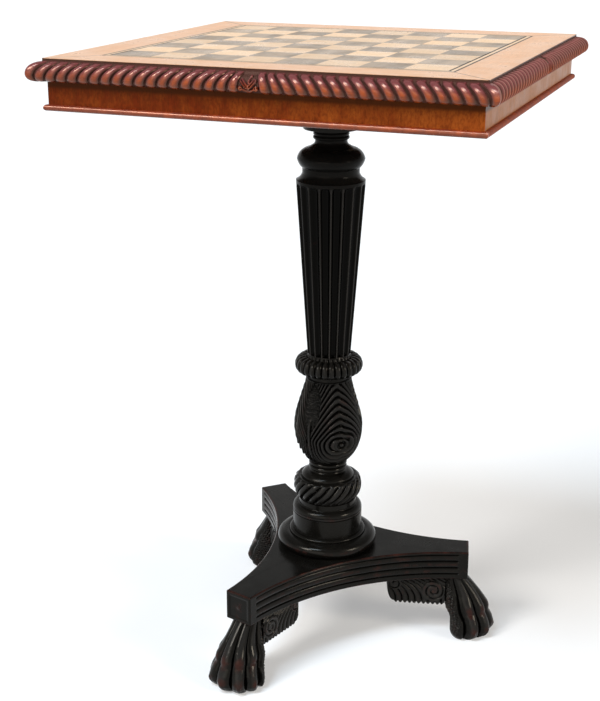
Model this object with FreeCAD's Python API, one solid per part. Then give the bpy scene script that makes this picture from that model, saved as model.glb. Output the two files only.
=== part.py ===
"""Chess table: a square top with an inlaid board on a turned column and a three-armed base with paw feet.

Millimetres, +Z up. The origin is on the floor under the column. The top's sides lie along X and Y
and its front faces -Y.
"""
import FreeCAD
import Part
import math
import os

# Overall sizes
TABLE_HEIGHT = 724.0
SQUARE_SIZE = 45.0
BORDER_WIDTH = 44.2

# Board and veneers
SQUARES_PER_SIDE = 8
VENEER = 1.5
INNER_LINE = 1.2
LIGHT_BAND = 5.0
OUTER_LINE = 1.0

# Top, measured down from the playing surface
GROUND_BOTTOM = 23.5
RAIL_BOTTOM = 47.0
BEAD_BOTTOM = 53.5
BOSS_BOTTOM = 92.5

# Top, measured out from its edge
EDGE_OUT = 13.6
GROUND_LIP = 3.0
RAIL_INSET = 3.0
RAIL_THICK = 18.0
BEAD_OUT = 4.4
BEAD_TUCK = 12.0

# Carved edge: slanting lobes each side of a middle leaf
LOBES_PER_HALF = 19
CORNER_LOBE_SHARE = 0.62
LEAF_WIDTH = 22.0
LOBE_DEPTH = 2.4
LOBE_LEAN = 16.0
LOBE_LEAN_RUN = 40.0

# Inside the frieze
BEARER_WIDTH = 70.0
CORNER_LEG = 42.0
CORNER_DROP = 4.0
RUB_BLOCK_LENGTH = 40.0
RUB_BLOCK_WIDTH = 12.0
RUB_BLOCK_HEIGHT = 10.0
RUB_BLOCK_PLACE = 0.55
SCREW_SHANK = 2.4
SCREW_HEAD = 4.6
SCREW_BITE = 14.0
SCREW_FROM_END = 55.0

# Boss under the top
BOSS_FLANGE = 52.0
BOSS_FLANGE_THICK = 10.0
BOSS_RADIUS = 32.5

# Joints
JOINT_GAP = 0.1
END_GAP = 1.0
SPIGOT = 12.5
SPIGOT_LENGTH = 26.0
LOWER_SPIGOT = 15.0
DRUM_SPIGOT_LENGTH = 12.0
WEDGE_THICK = 3.0
WEDGE_TIP = 1.0
WEDGE_LENGTH = 20.0

# Column, piece by piece from the top
CAP_HEIGHT = 62.5
SHOULDER_RADIUS = 39.2
SHAFT_TOP_RADIUS = 40.1
SHAFT_FOOT_RADIUS = 26.0
FLUTE_COUNT = 18
FLUTE_DEPTH = 2.8
FLUTE_STOP = 7.0
COLLAR_HEIGHT = 30.9
COLLAR_RADIUS = 41.1
COLLAR_LOBES = 24
COLLAR_LOBE_DEPTH = 2.2
VASE_HEIGHT = 106.1
VASE_RADIUS = 41.9
LEAVES = 3
LEAF_GAP_DEPTH = 2.4
ROPE_PIECE_HEIGHT = 50.5
ROPE_HEIGHT = 37.0
ROPE_RADIUS = 42.5
ROPE_LOBES = 20
ROPE_LOBE_DEPTH = 2.4
NECK_RADIUS = 23.4
DRUM_HEIGHT = 41.0
DRUM_RADIUS = 42.6
DRUM_NECK_RADIUS = 35.4
DRUM_NECK_HEIGHT = 6.8
DRUM_LINE = 1.0
DRUM_LINE_HALF = 0.8
DRUM_LINE_DROP = 3.4
BASE_RING_HEIGHT = 20.0
BASE_RING_RADIUS = 61.1
BASE_RING_STEP = 4.0

# Base
FOOT_HEIGHT = 78.5
PLATFORM_THICK = 36.5
ARM_REACH = 177.2
ARM_HALF_WIDTH = 17.7
WAIST_RADIUS = 66.0
FIRST_ARM = 254.0
ARMS = ("front", "right", "back")
REEDS = 3
REED_HEIGHT = 8.8
REED_RELIEF = 2.6
REED_PLACE = 0.63
END_BLOCK = 10.0
PAW_TUCK = 27.2
PAW_SWING = 34.8
PAW_HEEL = 8.0
PAW_HALF_WIDTH = 31.5
TOES = 5
TOE_DEPTH = 4.2
TOE_FAN = 190.0
BRACKET_LENGTH = 74.0
BRACKET_HALF_WIDTH = 16.5
BRACKET_DROP = 37.0
SCALLOPS = 5
TENON_LENGTH = 18.0
TENON_WIDTH = 16.0
TENON_HEIGHT = 15.0

# Worked out from the sizes above
BOARD_HALF = SQUARES_PER_SIDE * SQUARE_SIZE / 2
LINE_HALF = BOARD_HALF + INNER_LINE
BAND_HALF = LINE_HALF + LIGHT_BAND
FRAME_HALF = BAND_HALF + OUTER_LINE
TOP_HALF = FRAME_HALF + BORDER_WIDTH
EDGE_HALF = TOP_HALF + EDGE_OUT
RAIL_FACE = TOP_HALF - RAIL_INSET
RAIL_INNER = RAIL_FACE - RAIL_THICK
VENEER_Z = TABLE_HEIGHT - VENEER
GROUND_Z = TABLE_HEIGHT - GROUND_BOTTOM
RAIL_Z = TABLE_HEIGHT - RAIL_BOTTOM
BEAD_Z = TABLE_HEIGHT - BEAD_BOTTOM
BOSS_Z = TABLE_HEIGHT - BOSS_BOTTOM
PLATFORM_TOP = FOOT_HEIGHT + PLATFORM_THICK
DRUM_Z = PLATFORM_TOP + BASE_RING_HEIGHT
ROPE_Z = DRUM_Z + DRUM_HEIGHT
VASE_Z = ROPE_Z + ROPE_PIECE_HEIGHT
COLLAR_Z = VASE_Z + VASE_HEIGHT
SHAFT_Z = COLLAR_Z + COLLAR_HEIGHT
CAP_Z = BOSS_Z - CAP_HEIGHT
PAW_BACK = ARM_REACH - PAW_TUCK
BRACKET_INNER = PAW_BACK - BRACKET_LENGTH
ARM_ANGLE = 360 / len(ARMS)
SIDES = (("front", 0), ("right", 90), ("back", 180), ("left", 270))
CENTRE = FreeCAD.Vector(0, 0, 0)
UP = FreeCAD.Vector(0, 0, 1)


def vec(x, y, z=0.0):
    return FreeCAD.Vector(x, y, z)


def turned(shape, degrees):
    """A copy turned about the column's axis."""
    copy = shape.copy()
    copy.rotate(CENTRE, UP, degrees)
    return copy


def group(solids):
    return Part.makeCompound(solids)


def outline(start, *steps):
    """Closed wire in the XZ plane. A step is a corner (x, z), or an arc ((x, z) on it, (x, z) at its end)."""
    edges = []
    here = vec(start[0], 0, start[1])
    for step in steps + (start,):
        if isinstance(step[0], tuple):
            middle, there = [vec(x, 0, z) for x, z in step]
            edges.append(Part.Arc(here, middle, there).toShape())
        else:
            there = vec(step[0], 0, step[1])
            edges.append(Part.LineSegment(here, there).toShape())
        here = there
    return Part.Wire(edges)


def turning(start, *steps):
    """Solid of revolution about the column's axis from its half outline."""
    return Part.Face(outline(start, *steps)).revolve(CENTRE, UP, 360)


def bar(start, *steps, half):
    """Outline in the XZ plane made as thick as 2 x half, centred on Y = 0."""
    solid = Part.Face(outline(start, *steps)).extrude(vec(0, 2 * half, 0))
    solid.translate(vec(0, -half, 0))
    return solid


def prism(points, low, high):
    """Upright prism on a polygon of (x, y) points."""
    corners = [vec(x, y, low) for x, y in points]
    return Part.Face(Part.makePolygon(corners + corners[:1])).extrude(vec(0, 0, high - low))


def block(x_low, x_high, half_width, low, high):
    y_low, y_high = -half_width, half_width
    return prism([(x_low, y_low), (x_high, y_low), (x_high, y_high), (x_low, y_high)], low, high)


def disc(radius, low, high):
    return Part.makeCylinder(radius, high - low, vec(0, 0, low))


def skin(loops):
    """Solid whose surface joins closed loops of points one after the other with flat facets."""
    faces = []
    for near, far in zip(loops, loops[1:]):
        for i in range(len(near)):
            j = (i + 1) % len(near)
            for corners in ([near[i], near[j], far[j]], [near[i], far[j], far[i]]):
                faces.append(Part.Face(Part.makePolygon(corners + corners[:1])))
    for end in (loops[0], loops[-1]):
        faces.append(Part.Face(Part.makePolygon(end + end[:1])))
    solid = Part.Solid(Part.Shell(faces))
    if solid.Volume < 0:
        solid.reverse()
    return solid.removeSplitter()


def carved(rows, repeats, form, start=0.0):
    """Upright piece carved all round. Rows give radius, carving depth, height and twist in repeats;
    the form gives the carving across one repeat as (share of the repeat, share of the depth)."""
    loops = []
    for radius, depth, height, twist in rows:
        loop = []
        for repeat in range(repeats):
            for share, sink in form:
                angle = math.radians(start) + 2 * math.pi * (repeat + share + twist) / repeats
                reach = radius - depth * sink
                loop.append(vec(reach * math.cos(angle), reach * math.sin(angle), height))
        loops.append(loop)
    return skin(loops)


# Carving across one repeat, as (share of the repeat, share of the depth)
LOBE_FORM = [(i / 4, 1 - math.sin(math.pi * i / 4)) for i in range(4)]
FLUTE_FORM = [(0.14 + 0.18 * i, math.sin(math.pi * i / 4)) for i in range(5)]
LEAF_FORM = [(i / 16, max(0.0, math.cos(2 * math.pi * i / 16)) ** 3) for i in range(16)]
LEAFLET_FORM = [(0.2, 0.15), (0.38, 0.8), (0.7, 0.1)]

# The carved edge's section, as (share of its projection, share of its height from the top)
EDGE_FORM = [(0.0, 0.0), (0.45, 0.04), (0.82, 0.25), (1.0, 0.58), (0.94, 0.86), (0.45, 1.0), (0.0, 1.0)]

# The paw from the floor up, as shares of its height, swing past the arm, width, toe depth and heel
PAW_FORM = [
    (0.0, 0.72, 0.82, 0.6, 1.0), (0.03, 0.86, 0.93, 0.8, 1.0), (0.09, 0.98, 0.99, 1.0, 1.0),
    (0.18, 1.0, 1.0, 1.0, 1.0), (0.27, 0.93, 0.96, 0.85, 0.95), (0.36, 0.88, 0.92, 0.7, 0.75),
    (0.48, 0.86, 0.88, 0.65, 0.2), (0.57, 0.75, 0.8, 0.55, 0.0), (0.7, 0.52, 0.68, 0.45, 0.0),
    (0.88, 0.16, 0.56, 0.35, 0.0), (1.0, -0.06, 0.53, 0.3, 0.0)]

# The paw's plan: its middle as a share of its length, then its cheeks and its back as shares of its width
PAW_MIDDLE = 0.42
PAW_CHEEK = 0.14
PAW_CHEEK_WIDTH = 0.97
PAW_BACK_WIDTH = 0.62


# Top

def frame_piece(inner, outer, low, high):
    """Front piece of a mitred square frame."""
    return prism([(-outer, -outer), (outer, -outer), (inner, -inner), (-inner, -inner)], low, high)


def mitred(strip):
    """The part of a front strip that lies between the two diagonals of the top."""
    reach = 1.2 * EDGE_HALF
    return strip.common(prism([(0, 0), (-reach, -reach), (reach, -reach)], 0, TABLE_HEIGHT))


def veneer_frame(inner, outer):
    piece = frame_piece(inner, outer, VENEER_Z, TABLE_HEIGHT)
    return [turned(piece, turn) for side, turn in SIDES]


def board_squares(parity):
    """The squares of one colour. The corner at the front right is light, parity 1."""
    squares = []
    for row in range(SQUARES_PER_SIDE):
        for column in range(SQUARES_PER_SIDE):
            if (row + column) % 2 == parity:
                corner = vec(column * SQUARE_SIZE - BOARD_HALF, row * SQUARE_SIZE - BOARD_HALF, VENEER_Z)
                squares.append(Part.makeBox(SQUARE_SIZE, SQUARE_SIZE, VENEER, corner))
    return group(squares)


def top_ground(screws):
    """The board under the veneers, with pilot holes for the bearer screws."""
    return block(-TOP_HALF, TOP_HALF, TOP_HALF, GROUND_Z, VENEER_Z).cut(screws)


def edge_station(x, sink, lean):
    """One section across the front edge, carved to the share sink of the lobes' depth. Its top leans
    towards the middle of the side by the share lean."""
    depth = GROUND_BOTTOM - GROUND_LIP
    loop = []
    for out_share, down_share in EDGE_FORM:
        out = out_share * (EDGE_OUT - sink * LOBE_DEPTH)
        down = GROUND_LIP + down_share * depth
        slant = lean * LOBE_LEAN * (1 - down_share) ** 3
        loop.append(vec(x - slant, -TOP_HALF - out, TABLE_HEIGHT - down))
    return loop


def edge_moulding():
    """Front edge: lobes leaning towards a middle leaf of three leaflets. The mitres cut through the
    last lobes, and the lean grows over a run from the middle of the side."""
    leaf = LEAF_WIDTH / 2
    pitch = (EDGE_HALF - leaf) / (LOBES_PER_HALF - 1 + CORNER_LOBE_SHARE)
    half = [(share * leaf, sink) for share, sink in LEAFLET_FORM]
    for lobe in range(LOBES_PER_HALF + 1):
        half += [(leaf + (lobe + share) * pitch, sink) for share, sink in LOBE_FORM]
    half = [(x, sink, min(1.0, x / LOBE_LEAN_RUN)) for x, sink in half]
    half.append((leaf + (LOBES_PER_HALF + 2) * pitch, 1.0, 0.0))
    mirrored = [(-x, sink, -lean) for x, sink, lean in reversed(half)]
    return mitred(skin([edge_station(*station) for station in mirrored + [(0.0, 0.0, 0.0)] + half]))


def frieze_bead():
    """Round-nosed strip under the front rail."""
    nose = RAIL_FACE + BEAD_OUT
    back = RAIL_FACE - BEAD_TUCK
    radius = (RAIL_Z - BEAD_Z) / 2
    round_nose = ((nose, BEAD_Z + radius), (nose - radius, RAIL_Z))
    strip = bar((back, BEAD_Z), (nose - radius, BEAD_Z), round_nose, (back, RAIL_Z), half=nose)
    return mitred(turned(strip, -90))


def bearers(screws):
    """Two bearers halved across each other under the top, bored for the column's spigot."""
    middle = (RAIL_Z + GROUND_Z) / 2
    half = BEARER_WIDTH / 2
    bore = disc(SPIGOT + JOINT_GAP, RAIL_Z, GROUND_Z)
    full = block(-RAIL_INNER, RAIL_INNER, half, RAIL_Z, GROUND_Z)
    long_bearer = full.cut([block(-half, half, half, RAIL_Z, middle), bore, screws])
    cross_bearer = turned(full, 90).cut([block(-half, half, half, middle, GROUND_Z), bore, screws])
    return long_bearer, cross_bearer


def bearer_screws():
    """A countersunk screw up through each end of the bearers."""
    tip = GROUND_Z + SCREW_BITE
    sink = RAIL_Z + SCREW_HEAD - SCREW_SHANK
    screw = turning((0, RAIL_Z), (SCREW_HEAD, RAIL_Z), (SCREW_SHANK, sink), (SCREW_SHANK, tip), (0, tip))
    screw.translate(vec(RAIL_INNER - SCREW_FROM_END, 0, 0))
    return group([turned(screw, turn) for side, turn in SIDES])


def corner_blocks():
    """Three-sided blocks glued into the corners of the frieze."""
    inner = RAIL_INNER
    plan = [(-inner, -inner), (CORNER_LEG - inner, -inner), (-inner, CORNER_LEG - inner)]
    corner = prism(plan, RAIL_Z + CORNER_DROP, GROUND_Z)
    return group([turned(corner, turn) for side, turn in SIDES])


def rub_blocks():
    """Small blocks in the angle between rails and top, two to a side."""
    blocks = []
    for side, turn in SIDES:
        for place in (-RUB_BLOCK_PLACE, RUB_BLOCK_PLACE):
            corner = vec(place * RAIL_INNER - RUB_BLOCK_LENGTH / 2, -RAIL_INNER, GROUND_Z - RUB_BLOCK_HEIGHT)
            solid = Part.makeBox(RUB_BLOCK_LENGTH, RUB_BLOCK_WIDTH, RUB_BLOCK_HEIGHT, corner)
            blocks.append(turned(solid, turn))
    return group(blocks)


def socket_boss():
    """Turned boss between the bearers and the column."""
    bore = SPIGOT + JOINT_GAP
    flange_z = RAIL_Z - BOSS_FLANGE_THICK
    neck = flange_z - BOSS_Z
    hollow = (BOSS_RADIUS + 0.25 * (BOSS_FLANGE - BOSS_RADIUS), BOSS_Z + 0.62 * neck)
    return turning((bore, BOSS_Z), (BOSS_RADIUS, BOSS_Z), (BOSS_RADIUS, BOSS_Z + 0.3 * neck),
                   (hollow, (BOSS_FLANGE, flange_z)), (BOSS_FLANGE, RAIL_Z), (bore, RAIL_Z))


def wedge(end_z, radius, point):
    """Wedge across a spigot's end at end_z, driven up (point 1) or down (point -1)."""
    half = WEDGE_THICK / 2
    tip = WEDGE_TIP / 2
    tip_z = end_z + point * WEDGE_LENGTH
    solid = bar((-half, end_z), (half, end_z), (tip, tip_z), (-tip, tip_z), half=radius)
    inside = disc(radius, min(end_z, tip_z), max(end_z, tip_z))
    return turned(solid.common(inside), FIRST_ARM)


# Column

def shaft_cap():
    """Neck with two rings, round shoulder and hollow collar down to the shaft's crisp edge."""
    r = SHOULDER_RADIUS
    h = CAP_HEIGHT

    def at(radius_share, height_share):
        return (radius_share * r, CAP_Z + height_share * h)

    return turning(
        (0, CAP_Z), (SHAFT_TOP_RADIUS, CAP_Z), (SHAFT_TOP_RADIUS, CAP_Z + 0.065 * h),
        (at(0.91, 0.12), at(0.845, 0.2)), at(0.845, 0.29),
        (at(0.94, 0.36), at(1.0, 0.46)), (at(0.93, 0.56), at(0.62, 0.655)), at(0.52, 0.68),
        (at(0.445, 0.76), at(0.49, 0.81)), (at(0.533, 0.845), at(0.5, 0.88)),
        (at(0.528, 0.915), at(0.497, 0.953)), at(0.497, 1.0), (0, BOSS_Z))


def column_shaft():
    """Cap and tapered fluted shaft, with a spigot at each end."""
    run = CAP_Z - SHAFT_Z
    foot, head = SHAFT_FOOT_RADIUS, SHAFT_TOP_RADIUS
    depth = FLUTE_DEPTH
    rows = [
        (foot, 0.75 * depth, SHAFT_Z, 0.0),
        (foot + 0.09 * (head - foot), 0.75 * depth, SHAFT_Z + 0.19 * run, 0.0),
        (foot + 0.48 * (head - foot), 0.9 * depth, SHAFT_Z + 0.55 * run, 0.0),
        (head, depth, CAP_Z - FLUTE_STOP, 0.0),
        (head, 0.8 * depth, CAP_Z - 0.6 * FLUTE_STOP, 0.0),
        (head, 0.0, CAP_Z, 0.0)]
    upper = disc(SPIGOT, BOSS_Z, GROUND_Z - END_GAP)
    lower = disc(SPIGOT, COLLAR_Z - SPIGOT_LENGTH, SHAFT_Z)
    return carved(rows, FLUTE_COUNT, FLUTE_FORM).fuse([shaft_cap(), upper, lower])


def gadroon_collar():
    """Lobed collar that the shaft stands on."""
    form = ((0.67, 0.2, 0.0), (0.84, 0.7, 0.12), (0.96, 1.0, 0.27), (1.0, 1.0, 0.47),
            (0.94, 0.8, 0.7), (0.8, 0.5, 0.9), (0.66, 0.1, 1.0))
    rows = [(r * COLLAR_RADIUS, d * COLLAR_LOBE_DEPTH, COLLAR_Z + z * COLLAR_HEIGHT, 0.0) for r, d, z in form]
    return carved(rows, COLLAR_LOBES, LOBE_FORM).cut(disc(SPIGOT + JOINT_GAP, COLLAR_Z, SHAFT_Z))


def leaf_vase():
    """Vase wrapped in upright leaves that meet over the base's arms, with a socket and a spigot."""
    form = ((0.573, 0.1, 0.0), (0.67, 0.3, 0.038), (0.79, 0.6, 0.095), (0.9, 0.9, 0.18), (0.975, 1.0, 0.29),
            (1.0, 1.0, 0.41), (0.953, 0.9, 0.58), (0.85, 0.7, 0.73), (0.72, 0.4, 0.88), (0.66, 0.1, 1.0))
    rows = [(r * VASE_RADIUS, d * LEAF_GAP_DEPTH, VASE_Z + z * VASE_HEIGHT, 0.0) for r, d, z in form]
    socket = disc(SPIGOT + JOINT_GAP, COLLAR_Z - SPIGOT_LENGTH - END_GAP, COLLAR_Z)
    spigot = disc(SPIGOT, VASE_Z - SPIGOT_LENGTH, VASE_Z)
    return carved(rows, LEAVES, LEAF_FORM, FIRST_ARM).cut(socket).fuse(spigot)


def rope_ring():
    """Ringed neck over a round moulding carved with slanting lobes below a plain shoulder."""
    form = ((0.833, 0.2, 0.0, 0.0), (0.94, 0.9, 0.2, 0.5), (1.0, 1.0, 0.42, 1.0), (0.965, 0.6, 0.632, 1.3),
            (0.85, 0.2, 0.77, 1.5), (0.72, 0.05, 0.886, 1.6), (0.52, 0.0, 1.0, 1.65))
    rows = [(r * ROPE_RADIUS, d * ROPE_LOBE_DEPTH, ROPE_Z + z * ROPE_HEIGHT, t) for r, d, z, t in form]
    low = ROPE_Z + ROPE_HEIGHT
    h = ROPE_PIECE_HEIGHT - ROPE_HEIGHT

    def at(radius_share, height_share):
        return (radius_share * NECK_RADIUS, low + height_share * h)

    neck = turning(
        (0, low - 0.1 * h), at(0.88, -0.1), at(0.88, 0.06), (at(1.0, 0.28), at(0.91, 0.5)),
        (at(1.0, 0.72), at(0.92, 0.92)), at(0.92, 1.0), (0, VASE_Z))
    socket = disc(SPIGOT + JOINT_GAP, VASE_Z - SPIGOT_LENGTH - END_GAP, VASE_Z)
    spigot = disc(SPIGOT, ROPE_Z - DRUM_SPIGOT_LENGTH, ROPE_Z)
    return carved(rows, ROPE_LOBES, LOBE_FORM).fuse(neck).cut(socket).fuse(spigot)


def column_drum():
    """Plain drum with a quarter-round shoulder over a cut line, a short neck above it, and the long
    spigot that is wedged in the platform."""
    r = DRUM_RADIUS
    step = r - DRUM_NECK_RADIUS
    shoulder = ROPE_Z - DRUM_NECK_HEIGHT
    edge = shoulder - step
    line = edge - DRUM_LINE_DROP
    diagonal = step * math.sqrt(0.5)
    body = turning(
        (0, DRUM_Z), (r, DRUM_Z), (r, line - DRUM_LINE_HALF), (r - DRUM_LINE, line),
        (r, line + DRUM_LINE_HALF), (r, edge),
        ((r - step + diagonal, edge + diagonal), (DRUM_NECK_RADIUS, shoulder)),
        (DRUM_NECK_RADIUS, ROPE_Z), (0, ROPE_Z))
    socket = disc(SPIGOT + JOINT_GAP, ROPE_Z - DRUM_SPIGOT_LENGTH - END_GAP, ROPE_Z)
    spigot = disc(LOWER_SPIGOT, FOOT_HEIGHT, DRUM_Z)
    return body.cut(socket).fuse(spigot)


def base_ring():
    """Half-round ring under the drum."""
    bore = LOWER_SPIGOT + JOINT_GAP
    r = BASE_RING_RADIUS
    top = PLATFORM_TOP + 0.8 * BASE_RING_HEIGHT
    nose = (r, PLATFORM_TOP + 0.43 * BASE_RING_HEIGHT)
    step = DRUM_RADIUS + BASE_RING_STEP
    return turning((bore, PLATFORM_TOP), (0.92 * r, PLATFORM_TOP), (nose, (0.88 * r, top)),
                   (step, top), (step, DRUM_Z), (bore, DRUM_Z))


# Base, made with each arm along +X

def on_arm(shape, arm):
    return turned(shape, FIRST_ARM + ARM_ANGLE * arm)


def side_arc():
    """Where a concave side runs, seen along the line between two arms: end point and arc radius."""
    half = math.radians(ARM_ANGLE / 2)
    along = ARM_REACH * math.cos(half) + ARM_HALF_WIDTH * math.sin(half)
    across = ARM_REACH * math.sin(half) - ARM_HALF_WIDTH * math.cos(half)
    rise = along - WAIST_RADIUS
    return along, across, (across ** 2 + rise ** 2) / (2 * rise)


def platform_slab():
    """Three arms joined by concave sides."""
    along, across = side_arc()[:2]
    near, middle, far = vec(along, across), vec(WAIST_RADIUS, 0), vec(along, -across)
    edges = []
    for arm in range(len(ARMS)):
        side = Part.Arc(far, middle, near).toShape()
        end = Part.LineSegment(vec(ARM_REACH, -ARM_HALF_WIDTH), vec(ARM_REACH, ARM_HALF_WIDTH)).toShape()
        edges.append(on_arm(end, arm))
        edges.append(on_arm(turned(side, ARM_ANGLE / 2), arm))
    slab = Part.Face(Part.Wire(edges)).extrude(vec(0, 0, PLATFORM_THICK))
    slab.translate(vec(0, 0, FOOT_HEIGHT))
    return slab


def side_reeds():
    """Cutter that leaves half-round reeds along one concave side, stopped by a plain block at each end."""
    along, across, radius = side_arc()
    half_angle = math.degrees(math.asin(across / radius) - END_BLOCK / radius)
    low = FOOT_HEIGHT + REED_PLACE * (PLATFORM_THICK - REEDS * REED_HEIGHT)
    valley = radius + REED_RELIEF
    steps = []
    for reed in range(REEDS):
        z = low + reed * REED_HEIGHT
        steps.append(((radius, z + REED_HEIGHT / 2), (valley, z + REED_HEIGHT)))
    outside = radius - REED_RELIEF
    section = Part.Face(outline((outside, low), (valley, low), *steps, (outside, low + REEDS * REED_HEIGHT)))
    cutter = turned(section, 180 - half_angle).revolve(CENTRE, UP, 2 * half_angle)
    cutter.translate(vec(WAIST_RADIUS + radius, 0, 0))
    return turned(cutter, ARM_ANGLE / 2)


def platform():
    cutters = [disc(LOWER_SPIGOT + JOINT_GAP, FOOT_HEIGHT, PLATFORM_TOP)]
    for arm in range(len(ARMS)):
        cutters.append(on_arm(tenon(JOINT_GAP, END_GAP), arm))
        cutters.append(on_arm(side_reeds(), arm))
    return platform_slab().cut(cutters)


def tenon(gap, end_gap):
    """Tenon between a paw and its arm, or with gaps the mortise for it."""
    middle = (PAW_BACK + ARM_REACH) / 2
    half = TENON_LENGTH / 2 + gap
    top = FOOT_HEIGHT + TENON_HEIGHT + end_gap
    return block(middle - half, middle + half, TENON_WIDTH / 2 + gap, FOOT_HEIGHT, top)


def paw_section(height, front, half_width, depth, back):
    """Loop round the paw: the toes fanned round the front, then a narrower flat back."""
    middle = PAW_BACK + PAW_MIDDLE * (front - PAW_BACK)
    loop = []
    for toe in range(TOES):
        for share, sink in LOBE_FORM:
            angle = math.radians(TOE_FAN * ((toe + share) / TOES - 0.5))
            scale = 1 - depth * sink / half_width
            loop.append(vec(middle + (front - middle) * scale * math.cos(angle),
                            half_width * scale * math.sin(angle), height))
    side = middle - PAW_CHEEK * (middle - PAW_BACK)
    loop.append(vec(side, PAW_CHEEK_WIDTH * half_width, height))
    loop.append(vec(back, PAW_BACK_WIDTH * half_width, height))
    loop.append(vec(back, -PAW_BACK_WIDTH * half_width, height))
    return loop


def paw_foot():
    """Lion's paw: a fluted shank that spreads into knuckled toes, with a tenon on top. Its back hangs
    from the bracket and leans outwards to the floor."""
    loops = []
    for up, out, wide, deep, heel in PAW_FORM:
        front = ARM_REACH + out * PAW_SWING
        back = PAW_BACK + heel * PAW_HEEL
        loops.append(paw_section(up * FOOT_HEIGHT, front, wide * PAW_HALF_WIDTH, deep * TOE_DEPTH, back))
    return skin(loops).fuse(tenon(0.0, 0.0))


def scroll_bracket():
    """Bracket under the arm behind the paw: rounded inner end and a scalloped lower edge."""
    top = FOOT_HEIGHT
    low = top - BRACKET_DROP
    start = BRACKET_INNER + 0.27 * BRACKET_DROP
    run = (PAW_BACK - 0.16 * BRACKET_DROP - start) / SCALLOPS
    steps = [((BRACKET_INNER, top - 0.55 * BRACKET_DROP), (start, low))]
    for scallop in range(SCALLOPS):
        x = start + scallop * run
        steps.append(((x + run / 2, low - 0.12 * run), (x + run, low)))
    steps.append((PAW_BACK, low - 0.13 * BRACKET_DROP))
    steps.append((PAW_BACK, top))
    return bar((BRACKET_INNER, top), *steps, half=BRACKET_HALF_WIDTH)


def top_pieces():
    screws = bearer_screws()
    long_bearer, cross_bearer = bearers(screws)
    border = veneer_frame(FRAME_HALF, TOP_HALF)
    moulding = edge_moulding()
    rail = frame_piece(RAIL_INNER, RAIL_FACE, RAIL_Z, GROUND_Z)
    bead = frieze_bead()
    pieces = {
        "light_squares": board_squares(1),
        "dark_squares": board_squares(0),
        "inner_line": group(veneer_frame(BOARD_HALF, LINE_HALF)),
        "light_band": group(veneer_frame(LINE_HALF, BAND_HALF)),
        "outer_line": group(veneer_frame(BAND_HALF, FRAME_HALF)),
        "top_ground": top_ground(screws),
        "bearer_long": long_bearer,
        "bearer_cross": cross_bearer,
        "bearer_screws": screws,
        "corner_blocks": corner_blocks(),
        "rub_blocks": rub_blocks(),
        "socket_boss": socket_boss()}
    for index, (side, turn) in enumerate(SIDES):
        pieces["border_" + side] = border[index]
        pieces["edge_moulding_" + side] = turned(moulding, turn)
        pieces["frieze_rail_" + side] = turned(rail, turn)
        pieces["frieze_bead_" + side] = turned(bead, turn)
    return pieces


def column_pieces():
    upper_wedge = wedge(GROUND_Z - END_GAP, SPIGOT, -1)
    lower_wedge = wedge(FOOT_HEIGHT, LOWER_SPIGOT, 1)
    return {
        "upper_wedge": upper_wedge,
        "column_shaft": column_shaft().cut(upper_wedge),
        "gadroon_collar": gadroon_collar(),
        "leaf_vase": leaf_vase(),
        "rope_ring": rope_ring(),
        "column_drum": column_drum().cut(lower_wedge),
        "lower_wedge": lower_wedge,
        "base_ring": base_ring()}


def base_pieces():
    pieces = {"platform": platform()}
    paw = paw_foot()
    bracket = scroll_bracket()
    for arm, name in enumerate(ARMS):
        pieces["paw_foot_" + name] = on_arm(paw, arm)
        pieces["scroll_bracket_" + name] = on_arm(bracket, arm)
    return pieces


os.makedirs("parts", exist_ok=True)
for pieces in (top_pieces(), column_pieces(), base_pieces()):
    for name, shape in pieces.items():
        shape.exportStep(os.path.join("parts", name + ".step"))
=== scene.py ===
"""Chess table with an inlaid board on a turned and carved column, with a three-armed base and paw feet.

Laid out as an add-on and run as a script in Blender 4.5. Shapes are worked out in millimetres in the
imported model's frame and put into the meshes in metres.
"""
import math

import bpy
import numpy as np
from bpy.props import FloatProperty, FloatVectorProperty, IntProperty, PointerProperty
from mathutils import Matrix, Vector


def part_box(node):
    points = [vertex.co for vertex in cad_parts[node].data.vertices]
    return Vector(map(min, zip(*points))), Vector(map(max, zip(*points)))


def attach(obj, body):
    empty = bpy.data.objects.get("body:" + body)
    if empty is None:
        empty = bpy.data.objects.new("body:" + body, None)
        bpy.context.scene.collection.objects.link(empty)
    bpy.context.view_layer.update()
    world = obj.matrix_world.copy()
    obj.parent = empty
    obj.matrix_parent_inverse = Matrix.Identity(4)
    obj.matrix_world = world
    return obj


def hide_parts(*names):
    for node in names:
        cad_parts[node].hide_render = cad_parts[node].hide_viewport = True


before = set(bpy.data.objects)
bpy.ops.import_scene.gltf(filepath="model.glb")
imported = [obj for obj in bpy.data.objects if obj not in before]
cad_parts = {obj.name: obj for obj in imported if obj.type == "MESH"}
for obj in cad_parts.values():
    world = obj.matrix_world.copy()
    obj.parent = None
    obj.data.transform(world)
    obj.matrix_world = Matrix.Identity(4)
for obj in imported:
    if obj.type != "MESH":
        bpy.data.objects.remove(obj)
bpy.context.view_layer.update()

bl_info = {
    "name": "Chess Table",
    "version": (1, 0, 0),
    "blender": (4, 5, 0),
    "location": "View3D > Sidebar > Chess Table",
    "description": "Builds a chess table with an inlaid board round its packed model",
    "category": "Object",
}

MM = 0.001
SIDE_TURNS = {"front": 0, "right": 90, "back": 180, "left": 270}
ARM_TURNS = {"front": 254, "right": 14, "back": 134}
# Heights in metres
TABLE_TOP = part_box("light_squares")[1].z
FRIEZE_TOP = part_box("frieze_rail_front")[1].z
# Spigots between the column's pieces, in millimetres: radius, their sockets' radius and depth, and the
# radius of the drum's spigot, which goes into the platform
SPIGOT, SOCKET, SOCKET_DEPTH, DRUM_SPIGOT = 12.5, 12.6, 27, 15.0


# Points and curves, in millimetres

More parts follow.
